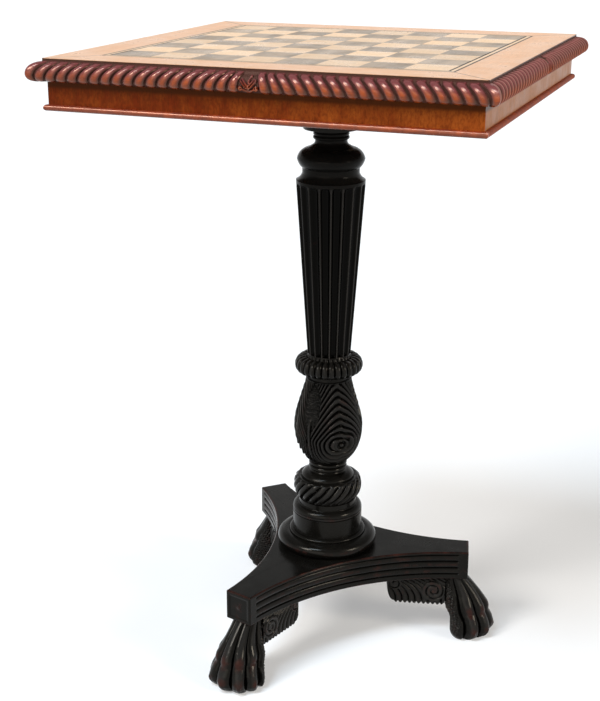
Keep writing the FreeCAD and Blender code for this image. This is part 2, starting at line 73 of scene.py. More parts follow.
def low_high(node):
    """Lowest and highest corner of a CAD node."""
    low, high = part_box(node)
    return np.array(low) / MM, np.array(high) / MM


def foot_top_reach(node):
    """Foot, top and furthest reach along X of a CAD node round the column's axis."""
    low, high = low_high(node)
    return low[2], high[2], high[0]


def turned(points, degrees):
    """Points turned about the column's axis."""
    angle = math.radians(degrees)
    c, s = math.cos(angle), math.sin(angle)
    x, y, z = points[..., 0], points[..., 1], points[..., 2]
    return np.stack([c * x - s * y, s * x + c * y, z], axis=-1)


def arc(start, middle, end, count=12):
    """Points on the circle through three points, after the first. The centre is where the two chords'
    perpendicular bisectors cross, and the angle runs evenly from start through middle to end."""
    (ax, ay), (bx, by), (cx, cy) = start, middle, end
    d = 2 * (ax * (by - cy) + bx * (cy - ay) + cx * (ay - by))
    a, b, c = ax * ax + ay * ay, bx * bx + by * by, cx * cx + cy * cy
    x = (a * (by - cy) + b * (cy - ay) + c * (ay - by)) / d
    y = (a * (cx - bx) + b * (ax - cx) + c * (bx - ax)) / d
    first = math.atan2(ay - y, ax - x)
    full = 2 * math.pi
    way = 1 if d > 0 else -1
    sweep = way * ((way * (math.atan2(cy - y, cx - x) - first)) % full)
    angles = first + sweep * np.arange(1, count + 1) / count
    radius = math.hypot(ax - x, ay - y)
    return np.stack([x + radius * np.cos(angles), y + radius * np.sin(angles)], axis=-1)


def outline(start, *steps, spacing):
    """Line of points through corners (r, z) and arcs ((r, z) on it, (r, z) at its end). Each straight
    run is divided into steps no longer than the spacing."""
    parts = [np.array([start], float)]
    for step in steps:
        if isinstance(step[0], tuple):
            parts.append(arc(tuple(parts[-1][-1]), *step))
        else:
            parts.append(np.array([step], float))
    points = np.concatenate(parts)
    runs = []
    for a, b in zip(points[:-1], points[1:]):
        pieces = max(1, math.ceil(np.linalg.norm(b - a) / spacing))
        runs.append(a + (b - a) * (np.arange(pieces) / pieces)[:, None])
    return np.concatenate(runs + [points[-1:]])


def rounded(points, window, spacing):
    """A closed line spaced evenly and averaged over a short window, which rounds its corners."""
    line = np.concatenate([points, points[:1]])
    run = np.concatenate([[0], np.cumsum(np.linalg.norm(np.diff(line, axis=0), axis=1))])
    count = int(run[-1] / spacing)
    place = np.arange(count) * run[-1] / count
    even = np.stack([np.interp(place, run, line[:, k]) for k in (0, 1)], axis=-1)
    half = max(1, int(window / spacing / 2))
    return sum(np.roll(even, shift, axis=0) for shift in range(-half, half + 1)) / (2 * half + 1)


def normals(points, closed=False):
    """Unit vectors at right angles to a flat line, on its right-hand side."""
    if closed:
        along = np.roll(points, -1, axis=0) - np.roll(points, 1, axis=0)
    else:
        along = np.gradient(points, axis=0)
    along /= np.maximum(np.linalg.norm(along, axis=1, keepdims=True), 1e-9)
    return np.stack([along[:, 1], -along[:, 0]], axis=-1)


def smooth(value, low, high):
    """0 below low, 1 above high, an S-curve between."""
    t = np.clip((value - low) / (high - low), 0, 1)
    return t * t * (3 - 2 * t)


def dome(value, centre, half):
    """Half-round bump: 1 at the centre, 0 at half its width away and beyond."""
    return np.sqrt(np.clip(1 - ((value - centre) / half) ** 2, 0, 1))


def bell(value, centre, width):
    """Bell-shaped bump: 1 at the centre and 1 / e at a width away."""
    return np.exp(-((value - centre) / width) ** 2)


def ridge(x, z, start, end, width):
    """Half-round ridge along the straight line from start to end."""
    (ax, az), (bx, bz) = start, end
    t = np.clip(((x - ax) * (bx - ax) + (z - az) * (bz - az)) / ((bx - ax) ** 2 + (bz - az) ** 2), 0, 1)
    return dome(np.hypot(x - ax - t * (bx - ax), z - az - t * (bz - az)), 0, width)


def volute(x, z, centre, radius, turns, way):
    """Spiral ridge round an eye, and the share of the place that lies inside it. The ridge follows
    radius / turns per turn, so its phase is distance over that step less the angle in turns."""
    dx, dz = x - centre[0], z - centre[1]
    distance = np.hypot(dx, dz)
    phase = (distance * turns / radius - way * np.arctan2(dz, dx) / (2 * math.pi)) % 1
    inside = 1 - smooth(distance, radius - 0.6, radius + 0.3)
    eye = dome(distance, 0, radius / turns * 0.62)
    return np.maximum(dome(phase, 0.5, 0.5) ** 0.8, eye), inside


# Meshes

def grid_faces(rows, columns, wrap_rows):
    """Quads between neighbours of a grid of points counted row by row. Every row is a loop."""
    i = np.arange(rows if wrap_rows else rows - 1)[:, None]
    j = np.arange(columns)[None, :]
    up, right = (i + 1) % rows, (j + 1) % columns
    corners = [i * columns + j, i * columns + right, up * columns + right, up * columns + j]
    return np.stack(corners, axis=-1).reshape(-1, 4)


def new_object(name, data):
    """Object at the origin, in the scene."""
    made = bpy.data.objects.new(name, data)
    bpy.context.scene.collection.objects.link(made)
    return made


def make_piece(name, node, slot, material, points, masks, wrap_rows=False, crease=40):
    """One closed piece from a grid of points. Its columns run round it, and its first and last rows
    are closed by flat faces unless the rows wrap as well. Masks become point attributes."""
    rows, columns = points.shape[:2]
    flat = points.reshape(-1, 3) * MM
    quads = grid_faces(rows, columns, wrap_rows)
    faces = quads.tolist()
    a, b, c, d = (flat[quads[:, k]] for k in range(4))
    volume = np.einsum("ij,ij->", a, np.cross(b, c)) + np.einsum("ij,ij->", a, np.cross(c, d))
    if not wrap_rows:
        for row in (range(columns - 1, -1, -1), range((rows - 1) * columns, rows * columns)):
            ring = flat[list(row)]
            volume += np.einsum("j,ij->", ring[0], np.cross(ring[1:-1], ring[2:]))
            faces.append(list(row))
    mesh = bpy.data.meshes.new(name)
    mesh.from_pydata(flat, [], faces)
    if volume < 0:
        mesh.flip_normals()
    for mask, values in masks.items():
        attribute = mesh.attributes.new(mask, "FLOAT", "POINT")
        whole = np.broadcast_to(values, (rows, columns)).astype(np.float32)
        attribute.data.foreach_set("value", np.ascontiguousarray(whole).ravel())
    mesh.shade_smooth()
    mesh.set_sharp_from_angle(angle=math.radians(crease))
    mesh.materials.append(material)
    piece = new_object(name, mesh)
    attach(piece, "root")
    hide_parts(node)
    return piece


def revolved(line, angles, recess=0.0):
    """Surface of revolution cut back by the recess along the normals of its outline (r, z)."""
    side = normals(line)
    r = line[:, :1] - side[:, :1] * recess + 0 * angles[None, :]
    z = line[:, 1:] - side[:, 1:] * recess + 0 * angles[None, :]
    return np.stack([r * np.cos(angles), r * np.sin(angles), z], axis=-1)


def circle(count):
    """Angles spaced evenly round a turn."""
    return np.arange(count) * 2 * math.pi / count


def lobes_round(count, per_lobe):
    """Angles round a turn, and how far across its own lobe each of them lies, from 0 to 1."""
    return circle(count * per_lobe), (np.arange(count * per_lobe) / per_lobe % 1)[None, :]


def shares_of(radius, foot, height):
    """A function that turns shares of a radius and of a height into a point (r, z) of an outline."""
    def at(radius_share, height_share):
        return (radius_share * radius, foot + height_share * height)

    return at


def setting(name):
    """A size or a count from the panel, in its own unit."""
    return getattr(bpy.context.scene.chess_table_sizes, name)


def size(name):
    """A size from the panel, in millimetres."""
    return setting(name) / MM


# Shader nodes

def add(tree, kind, inputs=(), **settings):
    """A new node. Its inputs are plain values or the sockets that feed them."""
    node = tree.nodes.new(kind)
    for key, value in settings.items():
        setattr(node, key, value)
    for key, value in dict(inputs).items():
        if isinstance(value, bpy.types.NodeSocket):
            tree.links.new(value, node.inputs[key])
        else:
            node.inputs[key].default_value = value
    return node


def calc(tree, operation, *values):
    return add(tree, "ShaderNodeMath", enumerate(values), operation=operation).outputs[0]


def plus(tree, first, second):
    return calc(tree, "ADD", first, second)


def minus(tree, first, second):
    return calc(tree, "SUBTRACT", first, second)


def times(tree, first, second):
    return calc(tree, "MULTIPLY", first, second)


def larger(tree, first, second):
    return calc(tree, "MAXIMUM", first, second)


def smaller(tree, first, second):
    return calc(tree, "MINIMUM", first, second)


def magnitude(tree, value):
    """The value without its sign."""
    return calc(tree, "ABSOLUTE", value)


def vector_calc(tree, operation, *values):
    return add(tree, "ShaderNodeVectorMath", enumerate(values), operation=operation).outputs[0]


def remap(tree, value, low, high, to_low=0.0, to_high=1.0):
    """Goes over from one value to the other along an S-curve between low and high."""
    inputs = {0: value, 1: low, 2: high, 3: to_low, 4: to_high}
    return add(tree, "ShaderNodeMapRange", inputs, interpolation_type="SMOOTHSTEP").outputs[0]


def blend(tree, share, first, second, mode="MIX"):
    """The second colour laid over the first by a share."""
    inputs = {0: share, 6: first, 7: second}
    return add(tree, "ShaderNodeMix", inputs, data_type="RGBA", blend_type=mode).outputs[2]


def blend_by(tree, value, low, high, first, second, most=1.0):
    """The first colour, going over to the second by at most a share as the value goes from low to high."""
    return blend(tree, remap(tree, value, low, high, 0.0, most), first, second)


def noise(tree, vector, scale, detail=3.0, roughness=0.55):
    inputs = {"Vector": vector, "Scale": scale, "Detail": detail, "Roughness": roughness}
    return add(tree, "ShaderNodeTexNoise", inputs).outputs[0]


def split(tree, vector):
    return add(tree, "ShaderNodeSeparateXYZ", {0: vector}).outputs


def join(tree, x, y, z):
    return add(tree, "ShaderNodeCombineXYZ", {0: x, 1: y, 2: z}).outputs[0]


def mask_value(tree, name):
    return add(tree, "ShaderNodeAttribute", attribute_name=name).outputs["Fac"]


def new_group(name, inputs, outputs):
    """Empty node group with float sockets, or a vector socket for an input called Vector."""
    tree = bpy.data.node_groups.new(name, "ShaderNodeTree")
    for label, value in inputs.items():
        kind = "NodeSocketVector" if label == "Vector" else "NodeSocketFloat"
        socket = tree.interface.new_socket(name=label, in_out="INPUT", socket_type=kind)
        if label != "Vector":
            socket.default_value = value
    for label in outputs:
        tree.interface.new_socket(name=label, in_out="OUTPUT", socket_type="NodeSocketFloat")
    return tree, tree.nodes.new("NodeGroupInput").outputs, tree.nodes.new("NodeGroupOutput").inputs


def use_group(tree, name, **inputs):
    """A group placed in a material. It is built the first time."""
    group = bpy.data.node_groups.get(name) or GROUPS[name](name)
    return add(tree, "ShaderNodeGroup", inputs, node_tree=group).outputs


def wood_grain(name):
    """Grain along the vector's X: long fine streaks, slow bands of figure and short dark pores."""
    tree, given, out = new_group(name, {"Vector": None, "Fineness": 900.0}, ("Streaks", "Figure", "Pores"))
    fine = given["Fineness"]
    wander = noise(tree, given["Vector"], 14.0, 2.0)
    bend = times(tree, minus(tree, wander, 0.5), 0.012)
    bent = vector_calc(tree, "ADD", given["Vector"], join(tree, 0.0, bend, bend))

    def streaks(along, across, detail, roughness=0.55):
        stretched = vector_calc(tree, "MULTIPLY", bent, join(tree, along, across, across))
        return noise(tree, stretched, 1.0, detail, roughness)

    pores = streaks(times(tree, fine, 0.16), 2600.0, 1.0)
    tree.links.new(streaks(times(tree, fine, 0.035), fine, 4.0, 0.6), out["Streaks"])
    tree.links.new(streaks(3.5, 42.0, 3.0, 0.5), out["Figure"])
    tree.links.new(remap(tree, pores, 0.62, 0.74), out["Pores"])
    return tree


def edge_rub(name):
    """Polish and stain rubbed through where hands and feet reach: the wear mask broken up by noise."""
    inputs = {"Vector": None, "Wear": 0.0, "Amount": 0.5, "Patch": 60.0}
    tree, given, out = new_group(name, inputs, ("Rubbed",))
    patches = minus(tree, noise(tree, given["Vector"], given["Patch"], 5.0, 0.65), 0.5)
    worn = plus(tree, times(tree, given["Wear"], given["Amount"]), patches)
    tree.links.new(remap(tree, worn, 0.12, 0.55), out["Rubbed"])
    return tree


def old_polish(name):
    """Hand-rubbed polish: roughness between two values in soft patches, and a slight unevenness."""
    inputs = {"Vector": None, "Smoothest": 0.25, "Dullest": 0.45}
    tree, given, out = new_group(name, inputs, ("Roughness", "Height"))
    patches = remap(tree, noise(tree, given["Vector"], 38.0, 4.0, 0.6), 0.3, 0.7)
    spread = minus(tree, given["Dullest"], given["Smoothest"])
    roughness = calc(tree, "MULTIPLY_ADD", patches, spread, given["Smoothest"])
    tree.links.new(roughness, out["Roughness"])
    tree.links.new(noise(tree, given["Vector"], 90.0, 1.0, 0.5), out["Height"])
    return tree


GROUPS = {"Wood Grain": wood_grain, "Edge Rub": edge_rub, "Old Polish": old_polish}


# Materials

# Depth of the bump under the veneers' varnish and under the polish, in metres
VARNISH_BUMP = 0.000004
POLISH_BUMP = 0.00001
NO_TINT = (1.0, 1.0, 1.0)
VARNISH_TINT = (1.0, 0.8, 0.6)


def new_material(name):
    """Empty material with its shader, and Object coordinates."""
    material = bpy.data.materials.new(name)
    material.use_nodes = True
    tree = material.node_tree
    tree.nodes.clear()
    shader = tree.nodes.new("ShaderNodeBsdfPrincipled")
    result = tree.nodes.new("ShaderNodeOutputMaterial")
    tree.links.new(shader.outputs[0], result.inputs["Surface"])
    place = tree.nodes.new("ShaderNodeTexCoord").outputs["Object"]
    return material, tree, shader, place


def finish_shader(tree, shader, place, colour, height, polish, bump, specular=0.5, tint=NO_TINT, dull=0.0):
    """Wires colour, old polish and bump to a shader, with its plain numbers on its own sockets. The
    polish is given by its smoothest and dullest roughness, and nowhere is it smoother than dull."""
    polished = use_group(tree, "Old Polish", Vector=place, Smoothest=polish[0], Dullest=polish[1])
    both = plus(tree, height, times(tree, polished["Height"], 6.0))
    bumped = add(tree, "ShaderNodeBump", {"Strength": 0.6, "Distance": bump, "Height": both})
    tree.links.new(colour, shader.inputs["Base Color"])
    tree.links.new(larger(tree, dull, polished["Roughness"]), shader.inputs["Roughness"])
    tree.links.new(bumped.outputs[0], shader.inputs["Normal"])
    shader.inputs["Specular IOR Level"].default_value = specular
    shader.inputs["Specular Tint"].default_value = (*tint, 1.0)


def colour_of(name):
    """A colour from the panel."""
    return (*getattr(bpy.context.scene.chess_table_colours, name), 1.0)


def shade(colour, share):
    """The colour at a share of its brightness."""
    return (*(share * channel for channel in colour[:3]), 1.0)


def wood_along(tree, place, axis, fineness):
    """Wood grain along one axis: the place's coordinates with the grain's axis first."""
    x, y, z = split(tree, place)
    ordered = join(tree, *{"x": (x, y, z), "y": (y, x, z), "z": (z, x, y)}[axis])
    return use_group(tree, "Wood Grain", Vector=ordered, Fineness=fineness)


def joint_dirt(tree, x, y):
    """Dirt along the joints round the board: how near the greater of x and y is to one of them."""
    out = larger(tree, magnitude(tree, x), magnitude(tree, y))
    nearest = 1.0
    for node in ("light_squares", "inner_line", "light_band", "outer_line"):
        nearest = smaller(tree, nearest, magnitude(tree, minus(tree, out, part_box(node)[1].x)))
    return remap(tree, nearest, 0.0003, 0.0013, 0.85, 0.0)


def square_veneer(tree, shader, place, wood, fineness, streak, figure):
    """Squares of the board: every square has its own tone and its own run of grain. The square's
    number is the whole part of place over square size, and white noise turns it into a value."""
    base = colour_of(wood)
    x, y, z = split(tree, place)
    squares = [calc(tree, "DIVIDE", axis, setting("square_size")) for axis in (x, y)]
    column, row = (calc(tree, "FLOOR", along) for along in squares)
    own = add(tree, "ShaderNodeTexWhiteNoise", {0: join(tree, column, row, 0.0)}, noise_dimensions="3D")
    shifted = vector_calc(tree, "ADD", join(tree, y, x, z), own.outputs["Color"])
    grain = use_group(tree, "Wood Grain", Vector=shifted, Fineness=fineness)
    streaked = blend_by(tree, grain["Streaks"], 0.3, 0.7, shade(base, streak), base)
    figured = blend_by(tree, grain["Figure"], 0.3, 0.7, streaked, shade(base, figure), 0.55)
    tone = remap(tree, own.outputs["Value"], 0.0, 1.0, 0.86, 1.08)
    toned = blend(tree, 1.0, figured, join(tree, tone, tone, tone), "MULTIPLY")
    pored = blend(tree, times(tree, grain["Pores"], 0.35), toned, shade(base, 0.4))
    from_seam = smaller(tree, *(calc(tree, "PINGPONG", along, 0.5) for along in squares))
    dirt = larger(tree, remap(tree, from_seam, 0.0, 0.016, 0.55, 0.0), joint_dirt(tree, x, y))
    colour = blend(tree, dirt, pored, shade(base, 0.25))
    finish_shader(tree, shader, place, colour, grain["Streaks"], (0.26, 0.4), VARNISH_BUMP, 0.2, VARNISH_TINT)


def strip_veneer(tree, shader, place, wood, fineness, axis="x", streak=0.7, polish=(0.26, 0.4), specular=0.2):
    """Long veneer with the grain along one axis and dirt at the mitres and joints. Its sides under the top
    face are painted dark as shade, about as dark as the carving's valleys."""
    base = colour_of(wood)
    grain = wood_along(tree, place, axis, fineness)
    streaked = blend_by(tree, grain["Streaks"], 0.3, 0.7, shade(base, streak), base)
    figured = blend_by(tree, grain["Figure"], 0.35, 0.7, streaked, shade(base, 0.8), 0.5)
    pored = blend(tree, times(tree, grain["Pores"], 0.3), figured, shade(base, 0.45))
    x, y, z = split(tree, place)
    from_mitre = magnitude(tree, minus(tree, magnitude(tree, x), magnitude(tree, y)))
    dirt = larger(tree, remap(tree, from_mitre, 0.0003, 0.0020, 0.9, 0.0), joint_dirt(tree, x, y))
    dirty = blend(tree, dirt, pored, shade(base, 0.12))
    # Painted shade on the sides under the top face
    under_face = remap(tree, z, TABLE_TOP - 0.0004, TABLE_TOP - 0.0002, 0.97, 0.0)
    colour = blend(tree, under_face, dirty, colour_of("carving_valley"))
    finish_shader(tree, shader, place, colour, grain["Streaks"], polish, VARNISH_BUMP, specular, VARNISH_TINT)


def frieze_wood(tree, shader, place):
    """Figured veneer on the frieze with upright grain and golden mottling. The gold grows with x + y, from
    the front left corner. On the right and back sides, where x + y is over 0, a paler colour is painted in as
    reflected light, and a band under the carved edge is darkened as a painted shadow."""
    base = colour_of("frieze")
    grain = wood_along(tree, place, "z", 900.0)
    x, y, z = split(tree, place)
    diagonal = plus(tree, x, y)
    streaked = blend_by(tree, grain["Streaks"], 0.28, 0.72, shade(base, 0.5), base)
    mottle = noise(tree, vector_calc(tree, "MULTIPLY", place, (1.0, 1.0, 0.45)), 48.0, 6.0, 0.7)
    golden = plus(tree, mottle, remap(tree, diagonal, -0.48, 0.25, -0.12, 0.26))
    figured = blend_by(tree, golden, 0.3, 0.8, streaked, colour_of("frieze_figure"))
    flecks = noise(tree, vector_calc(tree, "MULTIPLY", place, (1.0, 1.0, 0.5)), 420.0, 2.0, 0.6)
    flecked = blend_by(tree, flecks, 0.42, 0.66, figured, shade(base, 0.35), 0.45)
    pored = blend(tree, times(tree, grain["Pores"], 0.6), flecked, shade(base, 0.2))
    # Painted reflected light: the right and back sides are blended towards a paler colour
    faded = blend_by(tree, diagonal, 0.0, 0.004, pored, colour_of("frieze_faded"), 0.4)
    # Painted shadow: a dark band under the carved edge
    under_edge_shadow = blend_by(tree, z, FRIEZE_TOP - 0.0085, FRIEZE_TOP - 0.0040, faded, shade(base, 0.12), 0.9)
    tint = (1.0, 0.4, 0.15)
    finish_shader(tree, shader, place, under_edge_shadow, grain["Streaks"], (0.3, 0.46), POLISH_BUMP, 0.3, tint)


def carved_wood(tree, shader, place):
    """Carved polished wood: polish gone dark in the valleys, deepened by painted shade, a painted
    purple-brown reflection on the crests high up, and low down worn orange-brown crests with a painted sheen
    on them, less so near the front left corner. On the right and back sides, where x + y is over 0, the
    polish is dull and the arrises carry a pale painted highlight. The relief mask runs from 0 to 1."""
    # The valley colour is dark polish deepened by painted shade
    deep = colour_of("carving_valley")
    relief = mask_value(tree, "relief")
    patches = minus(tree, noise(tree, place, 90.0, 4.0), 0.5)
    uneven = plus(tree, relief, times(tree, patches, 0.35))
    x, y, z = split(tree, place)
    diagonal = plus(tree, x, y)
    low_down = remap(tree, z, TABLE_TOP - 0.017, TABLE_TOP - 0.008, 1.0, 0.0)
    # Painted reflection: the crests high up go purple-brown
    upper = blend_by(tree, uneven, 0.45, 0.92, deep, colour_of("carving_top_reflection"))
    lower = blend_by(tree, uneven, 0.5, 0.95, deep, colour_of("carving"))
    body = blend(tree, low_down, upper, lower)
    from_corner = remap(tree, diagonal, -0.49, -0.27, 0.25, 1.0)
    # Worn crests low down, with a painted sheen on them
    crest = times(tree, times(tree, remap(tree, uneven, 0.82, 1.06), low_down), from_corner)
    crested = blend(tree, crest, body, colour_of("carving_crest"))
    grain = use_group(tree, "Wood Grain", Vector=place, Fineness=800.0)
    streaked = blend(tree, remap(tree, grain["Streaks"], 0.35, 0.65, 0.3, 0.0), crested, deep)
    back_right_share = remap(tree, diagonal, -0.004, 0.006)
    # Painted highlight: pale arrises on the right and back sides
    arris = times(tree, back_right_share, remap(tree, relief, 0.93, 1.0, 0.0, 0.45))
    colour = blend(tree, arris, streaked, colour_of("carving_arris_highlight"))
    dull = larger(tree, remap(tree, relief, 0.25, 0.8, 0.75, 0.0), times(tree, back_right_share, 0.7))
    tint = (1.0, 0.58, 0.42)
    finish_shader(tree, shader, place, colour, grain["Streaks"], (0.18, 0.3), POLISH_BUMP, 0.9, tint, dull)


def ebonised_wood(tree, shader, place, sheen=1.0, specular=0.12):
    """Wood stained black under old polish, with grey dust in patches, painted shade darkening the hollows and
    a painted grey sheen on the crests, and rubbed back to red-brown where the wear mask says. The relief mask
    runs from -1 in a hollow to 1 on a crest."""
    black = colour_of("ebonised")
    crest = shade(colour_of("crest_sheen"), sheen)
    grain = wood_along(tree, place, "z", 900.0)
    stained = blend_by(tree, grain["Figure"], 0.3, 0.75, black, shade(black, 1.7))
    patches = noise(tree, place, 22.0, 5.0, 0.65)
    dusty = blend_by(tree, patches, 0.5, 0.75, stained, colour_of("dust"), 0.5)
    relief = mask_value(tree, "relief")
    # Painted shade in the hollows
    hollow_shade = blend(tree, remap(tree, relief, -0.9, 0.0, 1.0, 0.0), dusty, shade(black, 0.1))
    # Painted grey sheen on the crests
    crested = blend_by(tree, relief, 0.15, 1.0, hollow_shade, crest, 0.9)
    rub = use_group(tree, "Edge Rub", Vector=place, Wear=mask_value(tree, "wear"), Amount=0.5, Patch=70.0)
    colour = blend(tree, rub["Rubbed"], crested, colour_of("rubbed_wood"))
    tint = (1.0, 0.95, 0.86)
    finish_shader(tree, shader, place, colour, grain["Streaks"], (0.12, 0.3), POLISH_BUMP, specular, tint)


def plain_wood(tree, shader, place):
    """Unpolished inside wood with grain along X and dirt in patches."""
    base = colour_of("inside_wood")
    grain = wood_along(tree, place, "x", 500.0)
    streaked = blend_by(tree, grain["Streaks"], 0.3, 0.7, shade(base, 0.65), base)
    dirty = blend_by(tree, noise(tree, place, 18.0, 4.0), 0.5, 0.8, streaked, shade(base, 0.35), 0.5)
    finish_shader(tree, shader, place, dirty, grain["Streaks"], (0.6, 0.8), 0.0003, 0.3)


def steel(tree, shader, place):
    """Old screw steel with brown rust in patches."""
    rust = use_group(tree, "Edge Rub", Vector=place, Wear=0.6, Amount=0.6, Patch=500.0)["Rubbed"]
    colour = blend(tree, rust, colour_of("screw_steel"), colour_of("rust"))
    tree.links.new(minus(tree, 1.0, rust), shader.inputs["Metallic"])
    finish_shader(tree, shader, place, colour, rust, (0.35, 0.6), 0.0001)


# What each material's shader is wired by, and with what
LIGHT = {"wood": "light_squares", "fineness": 1500.0}
DARK = {"wood": "dark_squares", "fineness": 1100.0}
LINE = {"wood": "line", "fineness": 1500.0}
BORDER = {"wood": "border", "fineness": 1100.0, "streak": 0.78}
MATERIALS = {
    "light_squares": (square_veneer, {**LIGHT, "streak": 0.72, "figure": 0.86}),
    "dark_squares": (square_veneer, {**DARK, "streak": 0.5, "figure": 1.7}),
    "light_band": (strip_veneer, LIGHT),
    "dark_line": (strip_veneer, {**LINE, "polish": (0.7, 0.85), "specular": 0.02}),
    "border_front": (strip_veneer, BORDER),
    "border_right": (strip_veneer, {"axis": "y", **BORDER}),
    "border_back": (strip_veneer, BORDER),
    "border_left": (strip_veneer, {"axis": "y", **BORDER}),
    "frieze_veneer": (frieze_wood, {}),
    "carved_polish": (carved_wood, {}),
    "black_polish": (ebonised_wood, {}),
    # The shaft carries a stronger painted sheen on its arrises
    "black_shaft": (ebonised_wood, {"sheen": 2.2, "specular": 0.05}),
    "inside_wood": (plain_wood, {}),
    "aged_steel": (steel, {})}


def finish(name):
    """A material by name. It is built the first time."""
    material = bpy.data.materials.get("visual_" + name)
    if material is None:
        material, tree, shader, place = new_material("visual_" + name)
        maker, options = MATERIALS[name]
        maker(tree, shader, place, **options)
    return material


def finish_nodes(material, *nodes):
    """Gives CAD nodes that keep their shape a material."""
    for node in nodes:
        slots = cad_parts[node].data.materials
        slots.clear()
        slots.append(finish(material))


# Shapes

def edge_leaf(x, down):
    """Carving of the middle leaf: two broad blades with a cut midrib rising in a V, a bent stem between
    them, a bud under them and a low chevron that curls up at both ends."""
    side = np.abs(x)
    stem = dome(x - 0.5 - 0.42 * (9.0 - down) - 0.5 * np.sin((down - 1) * 0.9), 0, 1.3)
    stem = stem * smooth(down, 0.6, 1.6) * (1 - smooth(down, 9.5, 11.5))
    blades = ridge(side, down, (1.0, 13.8), (7.6, 6.8), 2.8)
    midribs = ridge(side, down, (1.4, 13.5), (8.0, 6.4), 0.7)
    bud = dome(np.hypot(x, (down - 16.0) * 0.8), 0, 1.6)
    chevron = ridge(side, down, (0.0, 19.6), (6.8, 16.2), 1.5)
    curls, inside = volute(side, down, (8.6, 15.4), 2.9, 1.4, 1)
    ground = 0.12 + 0.1 * np.cos(2.4 * x) * np.cos(2.1 * down)
    cuts = [ground, 0.95 * stem, blades - 0.6 * midribs, 0.9 * bud, 0.9 * chevron, curls * inside]
    return np.maximum.reduce(cuts)


# A lobe of the edge across its pitch, as (share of the pitch, height)
LOBE_SECTION = (
    (-9, 0.0), (0.0, 0.0), (0.02, 0.3), (0.06, 0.55), (0.13, 0.78), (0.23, 0.93), (0.36, 1.0), (0.5, 0.98),
    (0.63, 0.9), (0.74, 0.76), (0.82, 0.58), (0.88, 0.36), (0.92, 0.1), (0.95, 0.0), (9, 0.0))
LOBE_MIDDLE = 0.47


def edge_moulding_grid():
    """Front edge. The section is an ovolo swept by an angle a from the top to the underside, and lobes
    cut it back along its normal, narrower and shallower as they go under. A lobe's place along the
    side is x = s - lean, where the lean grows to the top and points to the middle. The last lobe is
    stretched to end on the mitre, and the carving of the leaf takes the lobes' place in the middle."""
    low, high = low_high("edge_moulding_front")
    half, inner = -low[1], -high[1]
    out, drop = half - inner, high[2] - low[2]
    leaf = size("leaf_width") / 2
    # Grid steps in a lobe, the last lobe's share of a pitch, and the shares of the height that lie over
    # and under the section's widest line
    per_lobe, last_lobe, over, under = 18, 0.62, 0.58, 0.42
    lobes = setting("lobes_per_half") - 1 + last_lobe
    pitch = (half - leaf) / lobes
    steps = np.append(np.arange(int(lobes * per_lobe)), lobes * per_lobe)
    s = np.concatenate([np.arange(0, leaf, 0.4), leaf + steps * pitch / per_lobe])
    s = np.concatenate([-s[:0:-1], s])[:, None]
    degrees = np.linspace(90, -90, 44)[None, :]
    a = np.radians(degrees)
    down_share = over - np.where(a > 0, over, under) * np.sin(a)
    out_share = np.cos(a) ** np.where(a > 0, 0.85, 0.6)
    section = np.stack([out * out_share[0], -drop * down_share[0]], axis=-1)
    side = -normals(section)
    phase = ((np.abs(s) - leaf) / pitch) % 1
    narrower = np.maximum(dome(np.maximum(-degrees, 55), 55, 38), 0.3)
    shallower = 1 - 0.45 * smooth(-degrees, 15, 60)
    lobe = np.interp(LOBE_MIDDLE + (phase - LOBE_MIDDLE) / narrower, *zip(*LOBE_SECTION))
    in_leaf = np.abs(s) < leaf
    carving = np.where(in_leaf, edge_leaf(s + 0 * a, drop * down_share), lobe)
    depth = size("lobe_depth") * np.where(in_leaf, 0.95, shallower) * smooth(np.abs(degrees), 90, 80)
    recess = depth * (1 - carving)
    lean = size("lobe_lean") * (1 - down_share) ** 2.2
    x = s - np.sign(s) * lean * np.clip(np.abs(s) / size("lobe_lean_run"), 0, 1)
    y_out = section[:, 0] - recess * side[:, 0]
    z = high[2] + section[:, 1] - recess * side[:, 1]
    start = half - pitch
    first = np.argmin(np.abs(s[:, 0] - start))
    share = np.clip((np.abs(s) - start) / pitch, 0, 1)
    mitre = inner + y_out[-1]
    stretched = np.sign(s) * (np.abs(x[first]) * (1 - share) + mitre * share)
    points = np.stack([np.where(np.abs(s) > start, stretched, x), -inner - y_out, z], axis=-1)
    # The relief mask gives painted shade in the valleys and a painted sheen on the crests; in the leaf it is
    # raised so that more of it takes the sheen
    return points, {"relief": np.where(in_leaf, carving ** 0.6, carving)}


def frieze_bead_grid():
    """Round-nosed strip under the front rail: a closed section carried along the side, where every
    line of it ends on the mitre."""
    low, high = low_high("frieze_bead_front")
    nose, back = -low[1], -high[1]
    middle, radius = (low[2] + high[2]) / 2, (high[2] - low[2]) / 2
    front = ((nose, middle), (nose - radius, high[2]))
    corners = (back, low[2]), (nose - radius, low[2]), front, (back, high[2])
    section = outline(*corners, spacing=2.0)
    share = np.linspace(-1, 1, 41)[:, None]
    points = np.stack([share * section[:, 0], -section[:, 0] + 0 * share, section[:, 1] + 0 * share], axis=-1)
    # The high relief gives the bead the crest colour: worn wood with a painted sheen
    return points, {"relief": 0.9}


